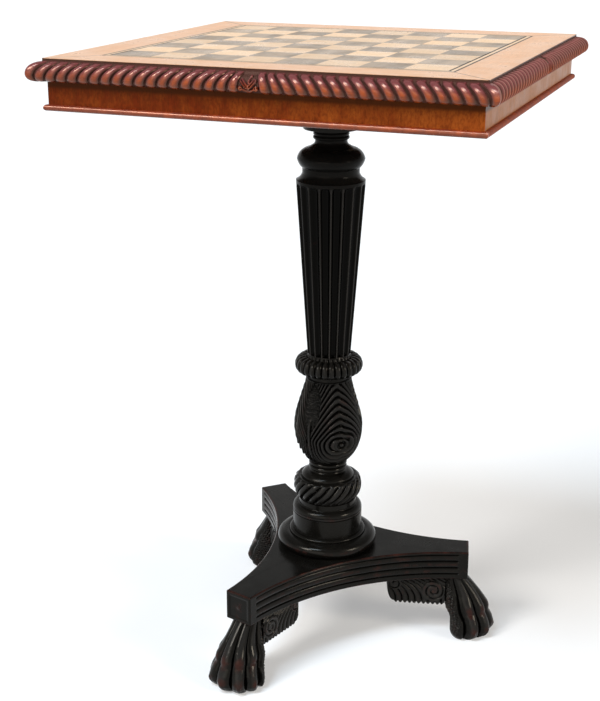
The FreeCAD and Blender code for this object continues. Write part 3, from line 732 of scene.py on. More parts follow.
def shaft_grid():
    """Turned cap over a fluted shaft. A flute is an ellipse cut into the round, and its top end is a
    quarter of a ball: depth x sqrt(1 - across^2 - past the end^2)."""
    foot, top, radius = foot_top_reach("column_shaft")
    boss = foot_top_reach("socket_boss")[0]
    collar = foot_top_reach("gadroon_collar")[1]
    cap_radius, cap_height = 39.2, 62.5
    cap = boss - cap_height
    at = shares_of(cap_radius, cap, cap_height)
    line = outline(
        (SPIGOT, foot), (SPIGOT, collar), (26.0, collar), (radius, cap - 3.0),
        (radius, cap + 0.065 * cap_height), (at(0.91, 0.12), at(0.845, 0.2)), at(0.845, 0.29),
        (at(0.94, 0.36), at(1, 0.46)), (at(0.93, 0.56), at(0.66, 0.66)), at(0.56, 0.7),
        (at(0.475, 0.765), at(0.48, 0.81)), (at(0.533, 0.845), at(0.5, 0.88)),
        (at(0.528, 0.915), at(0.497, 0.953)), at(0.497, 1), (SPIGOT, boss), (SPIGOT, top), spacing=2.0)
    r, z = line[:, :1], line[:, 1:]
    flutes, first_turn, flute_half = setting("flutes"), 290, 0.4
    angles, phase = lobes_round(flutes, 18)
    half = flute_half * 2 * math.pi * r / flutes
    across = (phase - 0.5) / flute_half
    past = np.maximum(0, z - (cap + 1.5 - half)) / half
    on_shaft = (r > SPIGOT + 0.1) & (z < cap)
    depth = size("flute_depth") * (0.7 + 0.3 * smooth(z, collar, cap))
    recess = np.where(on_shaft, depth * np.sqrt(np.clip(1 - across ** 2 - past ** 2, 0, 1)), 0)
    arris = smooth(np.abs(across), 0.85, 1.1)
    # The relief mask paints shade into the flutes and a grey sheen on the arrises and the cap
    relief = np.where(on_shaft, 2 * arris - 1 + smooth(past, 0.0, 1.0) * (1 - arris), 0.4)
    wear = 0.2 * bell(z, cap + 0.46 * cap_height, 3.0) + 0.3 * bell(z, cap + 2, 2.0)
    return revolved(line, angles + math.radians(first_turn), recess), {"wear": wear, "relief": relief}


def collar_grid():
    """Lobed collar: half-round lobes over a full round section, narrowing to both ends."""
    foot, top, r = foot_top_reach("gadroon_collar")
    at = shares_of(r, foot, top - foot)
    line = outline(
        (SOCKET, foot), at(0.6, 0), at(0.58, 0.16), (at(0.72, 0.18), at(0.85, 0.24)),
        (at(0.975, 0.38), at(1, 0.55)), (at(0.94, 0.77), at(0.8, 0.88)), (at(0.72, 0.9), at(0.66, 0.88)),
        at(0.62, 1), (SOCKET, top), spacing=1.3)
    angles, phase = lobes_round(setting("collar_lobes"), 16)
    share = (line[:, 1:] - foot) / (top - foot)
    outer = line[:, :1] > 0.64 * r
    width = np.where(share > 0.5, 0.49, 0.49 * np.clip(dome(share, 0.5, 0.33), 0.05, 1) ** 0.5)
    lobe = dome(phase, 0.5, width)
    shallower = 1.15 - 0.5 * smooth(share, 0.6, 0.9)
    depth = size("collar_depth") * np.where(outer, smooth(share, 0.17, 0.24) * shallower, 0)
    # The relief mask paints shade between the lobes and a grey sheen on them
    relief = np.where(outer, 1.6 * lobe ** 1.5 - 1, 0) * smooth(share, 0.2, 0.3)
    return revolved(line, angles, depth * (1 - lobe)), {"wear": 0.0, "relief": relief}


# Outline of the vase, as (radius, height over its foot)
VASE_LINE = (
    (24.0, 0.0), (28.1, 4.0), (33.1, 10.1), (37.7, 19.1), (40.4, 28.5), (41.6, 37.0), (41.9, 44.0),
    (41.5, 50.5), (40.0, 61.0), (37.2, 71.6), (33.8, 83.0), (30.6, 93.4), (28.2, 101.0), (27.6, 106.1))
# A barb of the vase's leaves across its pitch: a slow rise from its lower side and a steep upper side
BARB_SECTION = (
    (0.0, 0.0), (0.08, 0.3), (0.2, 0.58), (0.38, 0.8), (0.56, 0.95), (0.7, 1.0), (0.82, 0.86), (0.92, 0.45),
    (1.0, 0.0))


def from_third(angles, first):
    """Degrees from the nearest of three places a third of a turn apart."""
    return ((np.degrees(angles) - first + 60) % 120 - 60)[None, :]


def vase_grid():
    """Vase wrapped in three leaves. The barbs follow lines of equal q. High up a leaf q is the rise above
    its eye plus a spread that grows with the distance from the midrib, so the barbs are chevrons that
    steepen outwards. Round the eye q is close to the distance from it. Between two leaves is a punched
    ground with a stem."""
    foot, top = foot_top_reach("leaf_vase")[:2]
    z0 = foot_top_reach("rope_ring")[1]
    first_gap = ARM_TURNS["front"]
    form = np.array(VASE_LINE)
    z = np.linspace(0, form[-1, 1], 150)
    r = np.pad(np.interp(z, form[:, 1], form[:, 0]), 6, mode="reflect", reflect_type="odd")
    window = np.hanning(13)
    body = np.stack([np.convolve(r, window / window.sum(), "valid"), z0 + z], axis=-1)
    spigot = [(SPIGOT, foot), (SPIGOT, z0)]
    socket = [(SOCKET, top), (SOCKET, top - SOCKET_DEPTH)]
    line = np.concatenate([spigot, body, socket])
    height = line[:, 1:] - z0
    angles = circle(432) + math.radians(first_gap)
    across = np.radians(from_third(angles, first_gap + 60)) * 36.0
    rise = height - size("leaf_eye_height")
    spread = 0.22 * np.abs(across) + across ** 2 / 32
    ring = np.hypot(spread * 1.15, np.where(rise > 0, rise, 1.25 * rise))
    arch = np.where(rise > 0, spread + rise, ring)
    turn = smooth(ring, 7, 26) * smooth(rise, -4, 12)
    q = ring * (1 - turn) + arch * turn
    barb = np.interp((q / size("barb_pitch") + 0.18 * np.tanh(across / 2.5)) % 1, *zip(*BARB_SECTION))
    from_eye = np.hypot(across, rise)
    eye = np.maximum(dome(from_eye, 0, 3.2), 0.8 * dome(from_eye, 7.2, 2.2))
    leaf = np.where(from_eye < 8.5, eye, barb)
    off = from_third(angles, first_gap)
    opening = 4.5 + 14.0 * smooth(height, 40, 70) * (1 - smooth(height, 88, 106))
    in_gap = 1 - smooth(np.abs(off), opening - 2.0, opening + 0.5)
    off = np.radians(off) * 33.0
    waves = np.cos(off * 2.9 + 0.9 * np.sin(height * 1.3)) * np.cos(height * 2.5 + 0.7 * np.sin(off * 1.7))
    stem = dome(off, 0, 1.9) * (1 - smooth(height, 52, 68))
    punched = np.maximum(0.25 * (1 + waves) - 0.1, stem * 0.95)
    carving = leaf * (1 - in_gap) + punched * in_gap
    on_body = (line[:, :1] > SPIGOT + 0.2) * smooth(height, 1.0, 7.0) * (1 - smooth(height, 103.5, 106))
    # The relief mask paints shade into the cuts and a grey sheen on the barbs
    masks = {"wear": 0.3 * on_body * carving ** 4, "relief": (2 * carving - 1) * on_body}
    return revolved(line, angles, size("leaf_relief") * (1 - carving) * on_body), masks


# A slanting lobe of the roped ring across its pitch, as (share of the pitch, height)
ROPE_SECTION = (
    (0.0, 0.0), (0.05, 0.4), (0.14, 0.75), (0.3, 0.97), (0.55, 1.0), (0.78, 0.72), (0.9, 0.4), (1.0, 0.0))


def rope_grid():
    """Ringed neck, smooth shoulder and a round moulding carved with slanting lobes on its lower half.
    A lobe's phase is angle less a twist that grows with height."""
    foot, top, r = foot_top_reach("rope_ring")
    z0 = foot_top_reach("column_drum")[1]
    carved_height, neck_radius, neck = 28.6, 23.4, z0 + 37.0
    ring = shares_of(r, z0, 1)
    at = shares_of(neck_radius, neck, top - neck)
    line = outline(
        (SPIGOT, foot), (SPIGOT, z0), ring(0.82, 0), (ring(0.91, 4.6), ring(0.97, 9.0)),
        (ring(1, 16.5), ring(0.975, 23.0)), (ring(0.94, 26.6), ring(0.86, carved_height)),
        ring(0.77, 28.2), ring(0.765, 30.4), (ring(0.69, 33.6), ring(0.57, 35.4)),
        (ring(0.52, 36.0), at(0.88, 0.06)), (at(1, 0.28), at(0.91, 0.5)), (at(1, 0.72), at(0.92, 0.92)),
        at(0.92, 1), (SOCKET, top), (SOCKET, top - SOCKET_DEPTH), spacing=1.1)
    lobes, per_lobe = setting("rope_lobes"), 18
    share = (line[:, 1:] - z0) / carved_height
    twist = 2.0 * np.clip(share, 0, 1.2)
    phase = (np.arange(lobes * per_lobe)[None, :] / per_lobe - twist) % 1
    lobe = np.interp(phase, *zip(*ROPE_SECTION))
    carved = (line[:, :1] > 0.76 * r) * smooth(share, 0.0, 0.1) * (1 - smooth(share, 0.92, 1.0))
    recess = size("rope_depth") * (1 - lobe) * carved
    # The relief mask paints shade between the lobes and a grey sheen on them
    masks = {"wear": 0.0, "relief": (2 * lobe ** 1.5 - 1) * carved}
    return revolved(line, circle(lobes * per_lobe), recess), masks


def drum_grid():
    """Plain drum: ringed shoulder with a double line, and a long spigot."""
    foot, top, r = foot_top_reach("column_drum")
    ring = foot_top_reach("base_ring")[1]
    neck, edge = 35.4, top - 14.0
    line = outline(
        (DRUM_SPIGOT, foot), (DRUM_SPIGOT, ring), (r, ring), (r, edge - 4.1), (r - 1.0, edge - 3.4),
        (r, edge - 2.7), (r, edge - 0.9), (r - 0.9, edge - 0.3), (r, edge + 0.3),
        ((r - 1.3, edge + 4.2), (neck + 1.0, edge + 6.6)), ((neck + 0.2, edge + 6.9), (neck, edge + 7.6)),
        (neck, top), (SOCKET, top), (SOCKET, top - 13), spacing=1.5)
    # The band along the double line takes real wear and, through the relief mask, a painted sheen
    worn = bell(line[:, 1:], edge - 1.5, 2.0) * (line[:, :1] > neck)
    return revolved(line, circle(256)), {"wear": 0.3 * worn, "relief": 0.8 * worn}


def base_ring_grid():
    """Half-round ring under the drum, with a small step on top."""
    z0, top, r = foot_top_reach("base_ring")
    step, socket = 46.6, 15.1
    line = outline(
        (socket, z0), (0.93 * r, z0), (0.935 * r, z0 + 1.0), ((r, z0 + 8.6), (0.9 * r, top - 4.2)),
        ((0.82 * r, top - 3.2), (step, top - 3.6)), ((step + 0.2, top - 1.8), (step - 1.0, top - 0.6)),
        ((step - 2.0, top - 0.2), (step - 3.0, top)), (socket, top), spacing=1.5)
    wear = 0.35 * bell(line[:, 1:], z0 + 9, 3.0) * (line[:, :1] > 50)
    return revolved(line, circle(256)), {"wear": wear}


def boss_grid():
    """Turned boss under the top: flange, hollow and neck."""
    z0, top, flange = foot_top_reach("socket_boss")
    r, under = 32.5, top - 10
    at = shares_of(1, z0, under - z0)
    line = outline(
        (SOCKET, z0), (r - 0.6, z0), (r, z0 + 0.8), at(r, 0.3),
        (at(r + 0.25 * (flange - r), 0.62), (flange, under)), (flange, top), (SOCKET, top), spacing=1.6)
    return revolved(line, circle(192)), {"wear": 0.2}


def platform_grid():
    """Three arms joined by concave sides. The plan outline is carried up a section whose corners are
    rounded. Three half-round reeds are cut into the concave sides between plain end blocks, and the
    end of each arm has a sunk panel with a small rosette."""
    z0, z1 = foot_top_reach("platform")[:2]
    reach, half, waist = 177.2, 17.7, 66.0
    turns = sorted(ARM_TURNS.values())
    sixty = math.radians(60)
    along = reach * math.cos(sixty) + half * math.sin(sixty)
    across = reach * math.sin(sixty) - half * math.cos(sixty)
    end = np.array([[reach, -half, 0], [reach, half, 0]])
    hollow = arc((along, -across), (waist, 0), (along, across), 240)[:-1]
    hollow = np.column_stack([hollow, np.zeros(len(hollow))])
    corners = [turned(line, turn + more)[:, :2] for turn in turns for line, more in ((end, 0), (hollow, 60))]
    plan = rounded(np.concatenate(corners), 3.0, 0.9)
    side = normals(plan, closed=True)
    arms = np.radians(turns)[:, None]
    on_arm = np.cos(arms) * plan[:, 0] + np.sin(arms) * plan[:, 1]
    off_arm = np.cos(arms) * plan[:, 1] - np.sin(arms) * plan[:, 0]
    reach_along = on_arm.max(axis=0)[None, :]
    off_middle = np.abs(off_arm[on_arm.argmax(axis=0), np.arange(len(plan))])[None, :]
    reeded = 1 - smooth(reach_along, reach - 12.5, reach - 10.5)
    at_end = smooth(reach_along, reach - 0.5, reach - 0.2)
    bead = 1.6
    bottom = ((-0.3 * bead, z0 + 0.3 * bead), (0, z0 + bead))
    top = ((-0.3 * bead, z1 - 0.3 * bead), (-bead, z1))
    section = outline((-bead, z0), bottom, (0, z1 - bead), top, spacing=0.75)
    height = section[:, 1:] - (z0 + z1) / 2
    pitch = size("reed_height")
    above = height - 1.3
    in_reeds = np.abs(above) < 1.5 * pitch
    reed = dome((above / pitch + 1.5) % 1, 0.5, 0.5)
    panel = smooth(off_middle, 13.6, 12.6) * smooth(np.abs(height), 14.0, 13.0) * at_end
    rosette = dome(np.hypot(off_middle, height), 0, 2.6) * at_end
    sunk = panel * (1 - rosette)
    offset = section[:, :1] - size("reed_depth") * np.where(in_reeds, 1 - reed, 0) * reeded - 0.7 * sunk
    xy = plan[None, :, :] + side[None, :, :] * offset[:, :, None]
    z = np.broadcast_to(section[:, 1:], xy.shape[:2])
    points = np.concatenate([xy, z[:, :, None]], axis=-1)
    edge = 0.65 * smooth(np.abs(height), 15.5, 17.5)
    crest = 0.45 * np.where(in_reeds, reed ** 4, 0) * reeded
    wear = np.maximum(np.maximum(edge, crest), 0.25 * (1 - reeded))
    # The relief mask paints shade into the reeds' valleys and the sunk panel, and a grey sheen on the reeds
    # and the rosette
    relief = np.where(in_reeds, 1.3 * reed ** 1.5 - 1, 0) * reeded - 0.4 * sunk + rosette
    shares = np.array([0.985, 0.95, 0.8, 0.6, 0.4, 0.25])
    inward = np.stack([shares, shares, np.ones(len(shares))], axis=-1)[:, None, :]
    points = np.concatenate([(points[:1] * inward)[::-1], points, points[-1:] * inward])
    flat = np.zeros((len(shares), len(plan)))
    masks = {"wear": wear, "relief": relief}
    return points, {name: np.concatenate([flat, mask, flat]) for name, mask in masks.items()}


# By height over the floor: how far a paw reaches from the column's axis, half its width, how far out its
# heel lies, and the depth of the grooves between its toes
PAW_FRONT = (
    (0, 203.0), (3, 208.5), (8, 211.3), (14, 212.0), (22, 210.8), (28, 208.6), (33, 206.8), (37, 205.6),
    (42, 203.6), (48, 200.4), (55, 195.6), (64, 188.3), (72, 181.0), (78.5, 175.2))
PAW_WIDTH = (
    (0, 29.0), (3, 32.4), (8, 33.8), (14, 34.0), (22, 32.8), (28, 30.8), (33, 29.2), (37, 28.7), (42, 27.0),
    (48, 24.5), (55, 21.8), (64, 19.2), (72, 17.5), (78.5, 16.7))
PAW_HEEL = ((0, 158.0), (20, 157.6), (27, 155.6), (34, 151.6), (40, 150.0))
PAW_GROOVE = (
    (0, 6.0), (4, 6.4), (12, 6.8), (26, 6.2), (34, 5.4), (42, 5.0), (55, 3.8), (70, 2.4), (78.5, 1.4))


def paw_grid():
    """Lion's paw. Round its axis the loop is an ellipse in front and squarer behind. Five toes fan over
    the front: grooves between them, knuckle, crease and tip along them, a claw at the end of each. Locks
    of hair lie behind."""
    z = np.linspace(0, foot_top_reach("platform")[0], 120)[:, None]
    lines = (PAW_FRONT, PAW_WIDTH, PAW_HEEL, PAW_GROOVE)
    front, wide, back, groove = (np.interp(z, *zip(*line)) for line in lines)
    middle = back + 0.42 * (front - back)
    theta = (circle(264) - math.pi)[None, :]
    away = np.abs(theta)
    c, s = np.cos(theta), np.sin(theta)
    ahead = c > 0
    squeeze = np.where(ahead, 1.0, 1 - 0.22 * np.abs(c) ** 1.5)
    length = np.where(ahead, front - middle, middle - back)
    u = length * np.sign(c) * np.abs(c) ** np.where(ahead, 1.0, 0.55)
    w = wide * np.sign(s) * np.abs(s) ** np.where(ahead, 0.92, 0.8) * squeeze
    toes, fan = 5, math.radians(190)
    phase = ((theta / fan + 0.5) * toes) % 1
    on_toes = away < fan / 2
    toe = np.sqrt(np.clip(np.sin(math.pi * phase), 0, 1))
    crease = 30.0 + 3.0 * away
    knuckle = 1.3 * bell(z, crease + 10, 6.0) - 1.0 * bell(z, crease, 3.2)
    tip = 1.5 * bell(z, 14, 7.5)
    claw = 1.3 * dome(phase, 0.5, 0.13) * smooth(z, 1.5, 5) * (1 - smooth(z, 11, 15))
    toe_rise = ((knuckle + tip) * toe ** 2 + claw - 1.2) * on_toes
    back_share = smooth(away, math.radians(92), math.radians(112))
    lock = dome(((z - 9.0 * away) / size("hair_pitch")) % 1, 0.35, 0.6)
    hair = (1.7 * lock - 0.5 * np.cos(theta * 34 + z * 0.5) - 1.6) * back_share
    side_hair = 0.35 * np.cos(theta * 60 + z * 0.12) * (1 - on_toes)
    rise = toe_rise + hair * smooth(z, 2, 8) + side_hair
    push = (rise * smooth(z, -1, 3) - groove * (1 - toe) * on_toes) / np.hypot(u, w)
    points = np.stack([np.maximum(u * (1 + push) + middle, back), w * (1 + push), z + 0 * theta], axis=-1)
    crest = toe ** 3 * on_toes * (bell(z, 36, 9) + 0.8 * bell(z, 12, 7))
    wear = np.clip(crest + 0.4 * back_share * lock ** 3, 0, 1)
    # The relief mask paints shade into the grooves between the toes and locks, and a grey sheen on the toes
    # and locks
    relief = on_toes * (1.85 * toe ** 2 - 1) + back_share * (2 * lock - 1.4)
    return points, {"wear": wear, "relief": relief * smooth(z, -1, 6)}


def bracket_grid():
    """Bracket under an arm behind the paw. Each row is a loop down one face, round the lower edge and
    up the other face. The faces carry a large scroll by the paw, a small one at the inner end and
    slanting leaf bars between them, and the lower edge is cut into teeth."""
    inner_end, paw_end, drop, half_thick = 76.0, 150.0, 37.0, 16.4
    top = foot_top_reach("platform")[0]
    u = np.linspace(inner_end + 0.25, paw_end, 128)[:, None]
    start = inner_end + 10.0
    past_start = np.clip((start - u) / (start - inner_end), 0, 1)
    base = top - drop * np.sqrt(1 - past_start ** 2.2)
    teeth = 3.2 * np.abs(np.sin(math.pi * (u - start) / 5.8)) * smooth(u, start - 2, start + 4)
    base = base - teeth * (1 - smooth(u, paw_end - 4, paw_end))
    per_face = 56
    share = np.linspace(0, 1, per_face)[None, :]
    up = np.concatenate([1 - share, share[:, 1:]], axis=1)
    way = np.concatenate([np.ones(per_face), -np.ones(per_face - 1)])[None, :]
    span = top - base
    z = base + span * up
    over_edge = z - base
    u = u + 0 * z
    scroll, in_scroll = volute(u, z, (135.6, 58.5), 14.4, 2.4, 1)
    small, in_small = volute(u, z, (87.5, 66.5), 8.4, 1.7, -1)
    bars = dome(((u + 0.9 * (z - 60) + 0.03 * (z - 60) ** 2) / 8.2) % 1, 0.45, 0.5)
    carving = np.maximum(bars * 0.85, 0.8 * dome(z, base + 2.0, 2.0))
    carving = carving * (1 - in_scroll) + scroll * in_scroll
    carving = carving * (1 - in_small) + small * in_small
    round_off = 2.2 * (1 - dome(np.clip(over_edge / 4.5, 0, 1), 1, 1))
    half = half_thick - size("scroll_relief") * (1 - carving) - round_off
    half = np.minimum(half, 2.0 + (half_thick - 2.0) * np.sqrt(np.clip(span / drop, 0, 1)))
    closing = np.clip(over_edge / 0.8, 0, 1) ** 0.5
    points = np.stack([u, way * half * closing, z], axis=-1)
    # The relief mask paints shade into the cuts and a grey sheen on the carving's crests
    return points, {"wear": 0.5 * carving ** 4, "relief": 2 * carving - 1}


# Stage

# The camera's place in metres, its turns in radians and its lens in millimetres
CAMERA_PLACE = (0.49974, -1.43029, 0.87934)
CAMERA_YAW = 0.3591
CAMERA_PITCH = 0.3273
CAMERA_ROLL = 0.0034
CAMERA_LENS = 68.55


def make_camera():
    """Camera looking along its yaw and pitch, with a slight roll."""
    forward = Vector((-math.sin(CAMERA_YAW) * math.cos(CAMERA_PITCH),
                      math.cos(CAMERA_YAW) * math.cos(CAMERA_PITCH), -math.sin(CAMERA_PITCH)))
    right = Vector((math.cos(CAMERA_YAW), math.sin(CAMERA_YAW), 0))
    up = right.cross(forward)
    c, s = math.cos(CAMERA_ROLL), math.sin(CAMERA_ROLL)
    turn = Matrix((right * c + up * s, up * c - right * s, -forward)).transposed().to_4x4()
    data = bpy.data.cameras.new("camera")
    data.lens, data.sensor_width, data.clip_start = CAMERA_LENS, 36.0, 0.05
    camera = new_object("camera", data)
    camera.matrix_world = Matrix.Translation(CAMERA_PLACE) @ turn
    bpy.context.scene.camera = camera


def make_lamp(name, azimuth, elevation, spread, strength, colour):
    """Far soft lamp seen in a direction, all in degrees, with its width as an angle."""
    data = bpy.data.lights.new(name, "SUN")
    data.energy, data.angle, data.color = strength, math.radians(spread), colour
    lamp = new_object(name, data)
    around, up = math.radians(azimuth), math.radians(elevation)
    towards = Vector((math.cos(around) * math.cos(up), math.sin(around) * math.cos(up), math.sin(up)))
    lamp.rotation_euler = (-towards).to_track_quat("-Z", "Y").to_euler()


def seen_rays(tree):
    """1 for what the camera, a reflection or glass sees, and 0 for light on the object."""
    rays = add(tree, "ShaderNodeLightPath").outputs
    mirrored = larger(tree, rays["Is Glossy Ray"], rays["Is Transmission Ray"])
    return larger(tree, rays["Is Camera Ray"], mirrored)


def make_world(level):
    """White round the horizon and dim overhead where the camera, a reflection or glass sees it, and an
    even soft light on the object."""
    world = bpy.data.worlds.new("studio")
    bpy.context.scene.world = world
    world.use_nodes = True
    tree = world.node_tree
    tree.nodes.clear()
    height = split(tree, add(tree, "ShaderNodeTexCoord").outputs["Generated"])[2]
    backdrop = remap(tree, height, 0.2, 0.6, 1.0, 0.3)
    strength = add(tree, "ShaderNodeMix", {0: seen_rays(tree), 2: level, 3: backdrop}).outputs[0]
    sky = add(tree, "ShaderNodeBackground", {"Color": (1.0, 1.0, 1.0, 1.0), "Strength": strength})
    tree.links.new(sky.outputs[0], tree.nodes.new("ShaderNodeOutputWorld").inputs["Surface"])


def make_floor():
    """Large pale floor that takes the shadow. It throws only a part of its light back on the object."""
    spread, below = 40.0, 0.0004
    bounce, pale, glow = 0.45, 0.66, 0.33
    mesh = bpy.data.meshes.new("floor")
    corners = np.array([(-1, -1, 0), (1, -1, 0), (1, 1, 0), (-1, 1, 0)]) * spread
    mesh.from_pydata(corners - (0, 0, below), [], [(0, 1, 2, 3)])
    floor = new_object("floor", mesh)
    material, tree, shader, place = new_material("floor_paper")
    seen = seen_rays(tree)
    uneven = remap(tree, noise(tree, place, 3.0, 2.0), 0.3, 0.7, pale - 0.01, pale + 0.01)
    tint = times(tree, uneven, remap(tree, seen, 0.0, 1.0, bounce, 1.0))
    tree.links.new(join(tree, tint, tint, tint), shader.inputs["Base Color"])
    shader.inputs["Roughness"].default_value = 0.9
    shader.inputs["Specular IOR Level"].default_value = 0.1
    shader.inputs["Emission Color"].default_value = (1.0, 1.0, 1.0, 1.0)
    tree.links.new(times(tree, seen, glow), shader.inputs["Emission Strength"])
    mesh.materials.append(material)


# Add-on

def length(name, description, default):
    limits = {"unit": "LENGTH", "min": 0.0, "precision": 4}
    return FloatProperty(name=name, description=description, default=default, **limits)


def count(name, description, default):
    return IntProperty(name=name, description=description, default=default, min=1)


def colour(name, description, default):
    limits = {"subtype": "COLOR", "min": 0.0, "max": 1.0}
    return FloatVectorProperty(name=name, description=description, default=default, **limits)


def level(name, description, default):
    return FloatProperty(name=name, description=description, default=default, min=0.0)


class ChessTableSizes(bpy.types.PropertyGroup):
    """Sizes of the carving and the board."""
    square_size: length("Square", "Side of one square of the board", 0.045)
    leaf_width: length("Edge leaf", "Width of the leaf in the middle of each edge", 0.022)
    lobes_per_half: count("Edge lobes", "Lobes between the leaf and a corner", 19)
    lobe_depth: length("Lobe depth", "Depth of the valleys between the edge's lobes", 0.0034)
    lobe_lean: length("Lobe lean", "How far the lobes' tops lean to the middle", 0.0120)
    lobe_lean_run: length("Lean run", "Distance from the middle over which the lean grows", 0.040)
    flutes: count("Flutes", "Flutes round the shaft", 18)
    flute_depth: length("Flute depth", "Depth of a flute at the top of the shaft", 0.0044)
    collar_lobes: count("Collar lobes", "Lobes round the collar", 30)
    collar_depth: length("Collar depth", "Depth of the valleys of the collar", 0.0034)
    leaf_relief: length("Leaf relief", "Depth of the leaf carving on the vase", 0.0042)
    barb_pitch: length("Barb pitch", "Distance between the barbs of a leaf", 0.0084)
    leaf_eye_height: length("Leaf eye", "Height of a leaf's eye above the vase's foot", 0.0305)
    rope_lobes: count("Rope lobes", "Slanting lobes round the roped ring", 22)
    rope_depth: length("Rope depth", "Depth of the valleys of the roped ring", 0.0036)
    reed_height: length("Reed", "Height of one reed on the platform's sides", 0.0088)
    reed_depth: length("Reed depth", "Depth of the valleys between the reeds", 0.0026)
    hair_pitch: length("Hair pitch", "Distance between the locks of hair on a paw", 0.0036)
    scroll_relief: length("Scroll relief", "Depth of the carving on the brackets", 0.0030)


class ChessTableColours(bpy.types.PropertyGroup):
    """Colours of the woods and their polish."""
    light_squares: colour("Light squares", "Light veneer of the board and the band", (0.95, 0.63, 0.37))
    dark_squares: colour("Dark squares", "Dark veneer of the board", (0.35, 0.25, 0.165))
    line: colour("Lines", "Dark lines beside the band", (0.03, 0.02, 0.014))
    border: colour("Border", "Veneer of the border", (0.88, 0.49, 0.27))
    frieze: colour("Frieze", "Upright veneer of the frieze", (0.22, 0.025, 0.004))
    # Colour of the painted reflected light on the frieze's right and back sides
    frieze_faded: colour("Faded frieze", "Frieze on the sides that the sun has reached", (0.42, 0.19, 0.015))
    frieze_figure: colour("Frieze figure", "Golden mottling of the frieze", (0.41, 0.093, 0.013))
    carving: colour("Carving", "Faces of the carved edge", (0.20, 0.028, 0.010))
    # Colour of the painted purple-brown reflection on the lobes' upper ends
    carving_top_reflection: colour("Carving tops", "Purple-brown upper ends of the edge's lobes", (0.19, 0.045, 0.048))
    # Dark polish in the valleys, deepened by painted shade; also the painted shade on the veneers' sides
    carving_valley: colour("Carving valleys", "Dark polish in the edge's valleys", (0.028, 0.006, 0.005))
    # Worn crest colour, with a painted sheen on the lower crests
    carving_crest: colour("Carving crests", "Worn crests of the carved edge", (0.48, 0.075, 0.006))
    # Colour of the painted highlight on the arrises of the right and back sides
    carving_arris_highlight: colour("Carving arrises", "Arrises of the carved edge in the sun", (0.5, 0.24, 0.17))
    ebonised: colour("Ebonised wood", "Black stain on the column and the base", (0.0032, 0.0029, 0.0024))
    # Colour of the painted grey sheen on the crests of the black wood
    crest_sheen: colour("Polished crests", "Grey sheen on the crests of the black", (0.018, 0.017, 0.016))
    rubbed_wood: colour("Rubbed wood", "Wood where the black is rubbed through", (0.036, 0.011, 0.008))
    dust: colour("Dust", "Grey bloom on the black polish", (0.0090, 0.0082, 0.0068))
    inside_wood: colour("Inside wood", "Unpolished wood inside the frieze", (0.32, 0.19, 0.09))
    screw_steel: colour("Screw steel", "Old steel of the screws", (0.3, 0.3, 0.31))
    rust: colour("Rust", "Brown rust on the screws", (0.12, 0.05, 0.02))


class ChessTableStage(bpy.types.PropertyGroup):
    """Light levels."""
    sky_level: level("Sky", "Strength of the even light from all round", 0.16)
    key_strength: level("Key lamp", "Light from the front left", 1.9)
    side_strength: level("Side lamp", "Light from the right", 1.4)
    over_strength: level("Top lamp", "Light from above the front", 1.8)
    front_strength: level("Front lamp", "Low soft light from the front", 0.6)


def build(name, node, grid, turn=0, slot="ebonised_wood", polish="black_polish", **options):
    """A piece from a grid of points and its masks, turned about the column's axis by degrees."""
    points, masks = grid
    return make_piece(name, node, slot, finish(polish), turned(points, turn), masks, **options)


def build_edge(name, node, grid, turn, **options):
    """A piece of the carved edge or the frieze's bead."""
    return build(name, node, grid, turn, "carved_mahogany", "carved_polish", **options)


class CarveEdgeMouldings(bpy.types.Operator):
    """Carve the four mitred edge mouldings with their lobes and leaves"""
    bl_idname = "chess_table.carve_edge_mouldings"
    bl_label = "Carve edge mouldings"

    def execute(self, context):
        grid = edge_moulding_grid()
        for side, turn in SIDE_TURNS.items():
            build_edge("carved_edge_" + side, "edge_moulding_" + side, grid, turn, crease=60)
        return {"FINISHED"}


class RunFriezeBeads(bpy.types.Operator):
    """Run the round-nosed beads under the frieze"""
    bl_idname = "chess_table.run_frieze_beads"
    bl_label = "Run frieze beads"

    def execute(self, context):
        grid = frieze_bead_grid()
        for side, turn in SIDE_TURNS.items():
            build_edge("bead_" + side, "frieze_bead_" + side, grid, turn)
        return {"FINISHED"}


class TurnShaft(bpy.types.Operator):
    """Turn the shaft's cap and cut its flutes"""
    bl_idname = "chess_table.turn_shaft"
    bl_label = "Turn fluted shaft"

    def execute(self, context):
        build("fluted_shaft", "column_shaft", shaft_grid(), polish="black_shaft")
        return {"FINISHED"}


class CarveCollar(bpy.types.Operator):
    """Carve the lobed collar under the shaft"""
    bl_idname = "chess_table.carve_collar"
    bl_label = "Carve collar"

    def execute(self, context):
        build("lobed_collar", "gadroon_collar", collar_grid(), wrap_rows=True)
        return {"FINISHED"}


class CarveVase(bpy.types.Operator):
    """Carve the three leaves round the vase"""
    bl_idname = "chess_table.carve_vase"
    bl_label = "Carve leaf vase"

    def execute(self, context):
        build("carved_vase", "leaf_vase", vase_grid(), crease=70)
        return {"FINISHED"}


class CarveRopeRing(bpy.types.Operator):
    """Carve the roped ring and turn its neck"""
    bl_idname = "chess_table.carve_rope_ring"
    bl_label = "Carve roped ring"

    def execute(self, context):
        build("roped_ring", "rope_ring", rope_grid())
        return {"FINISHED"}


class TurnPlainRings(bpy.types.Operator):
    """Turn the drum, the ring under it and the boss under the top"""
    bl_idname = "chess_table.turn_plain_rings"
    bl_label = "Turn drum, ring and boss"

    def execute(self, context):
        build("turned_drum", "column_drum", drum_grid())
        build("foot_ring", "base_ring", base_ring_grid(), wrap_rows=True)
        build("top_boss", "socket_boss", boss_grid(), wrap_rows=True)
        return {"FINISHED"}


class ShapePlatform(bpy.types.Operator):
    """Saw out the three-armed platform and cut its reeds"""
    bl_idname = "chess_table.shape_platform"
    bl_label = "Shape platform"

    def execute(self, context):
        build("reeded_platform", "platform", platform_grid())
        return {"FINISHED"}


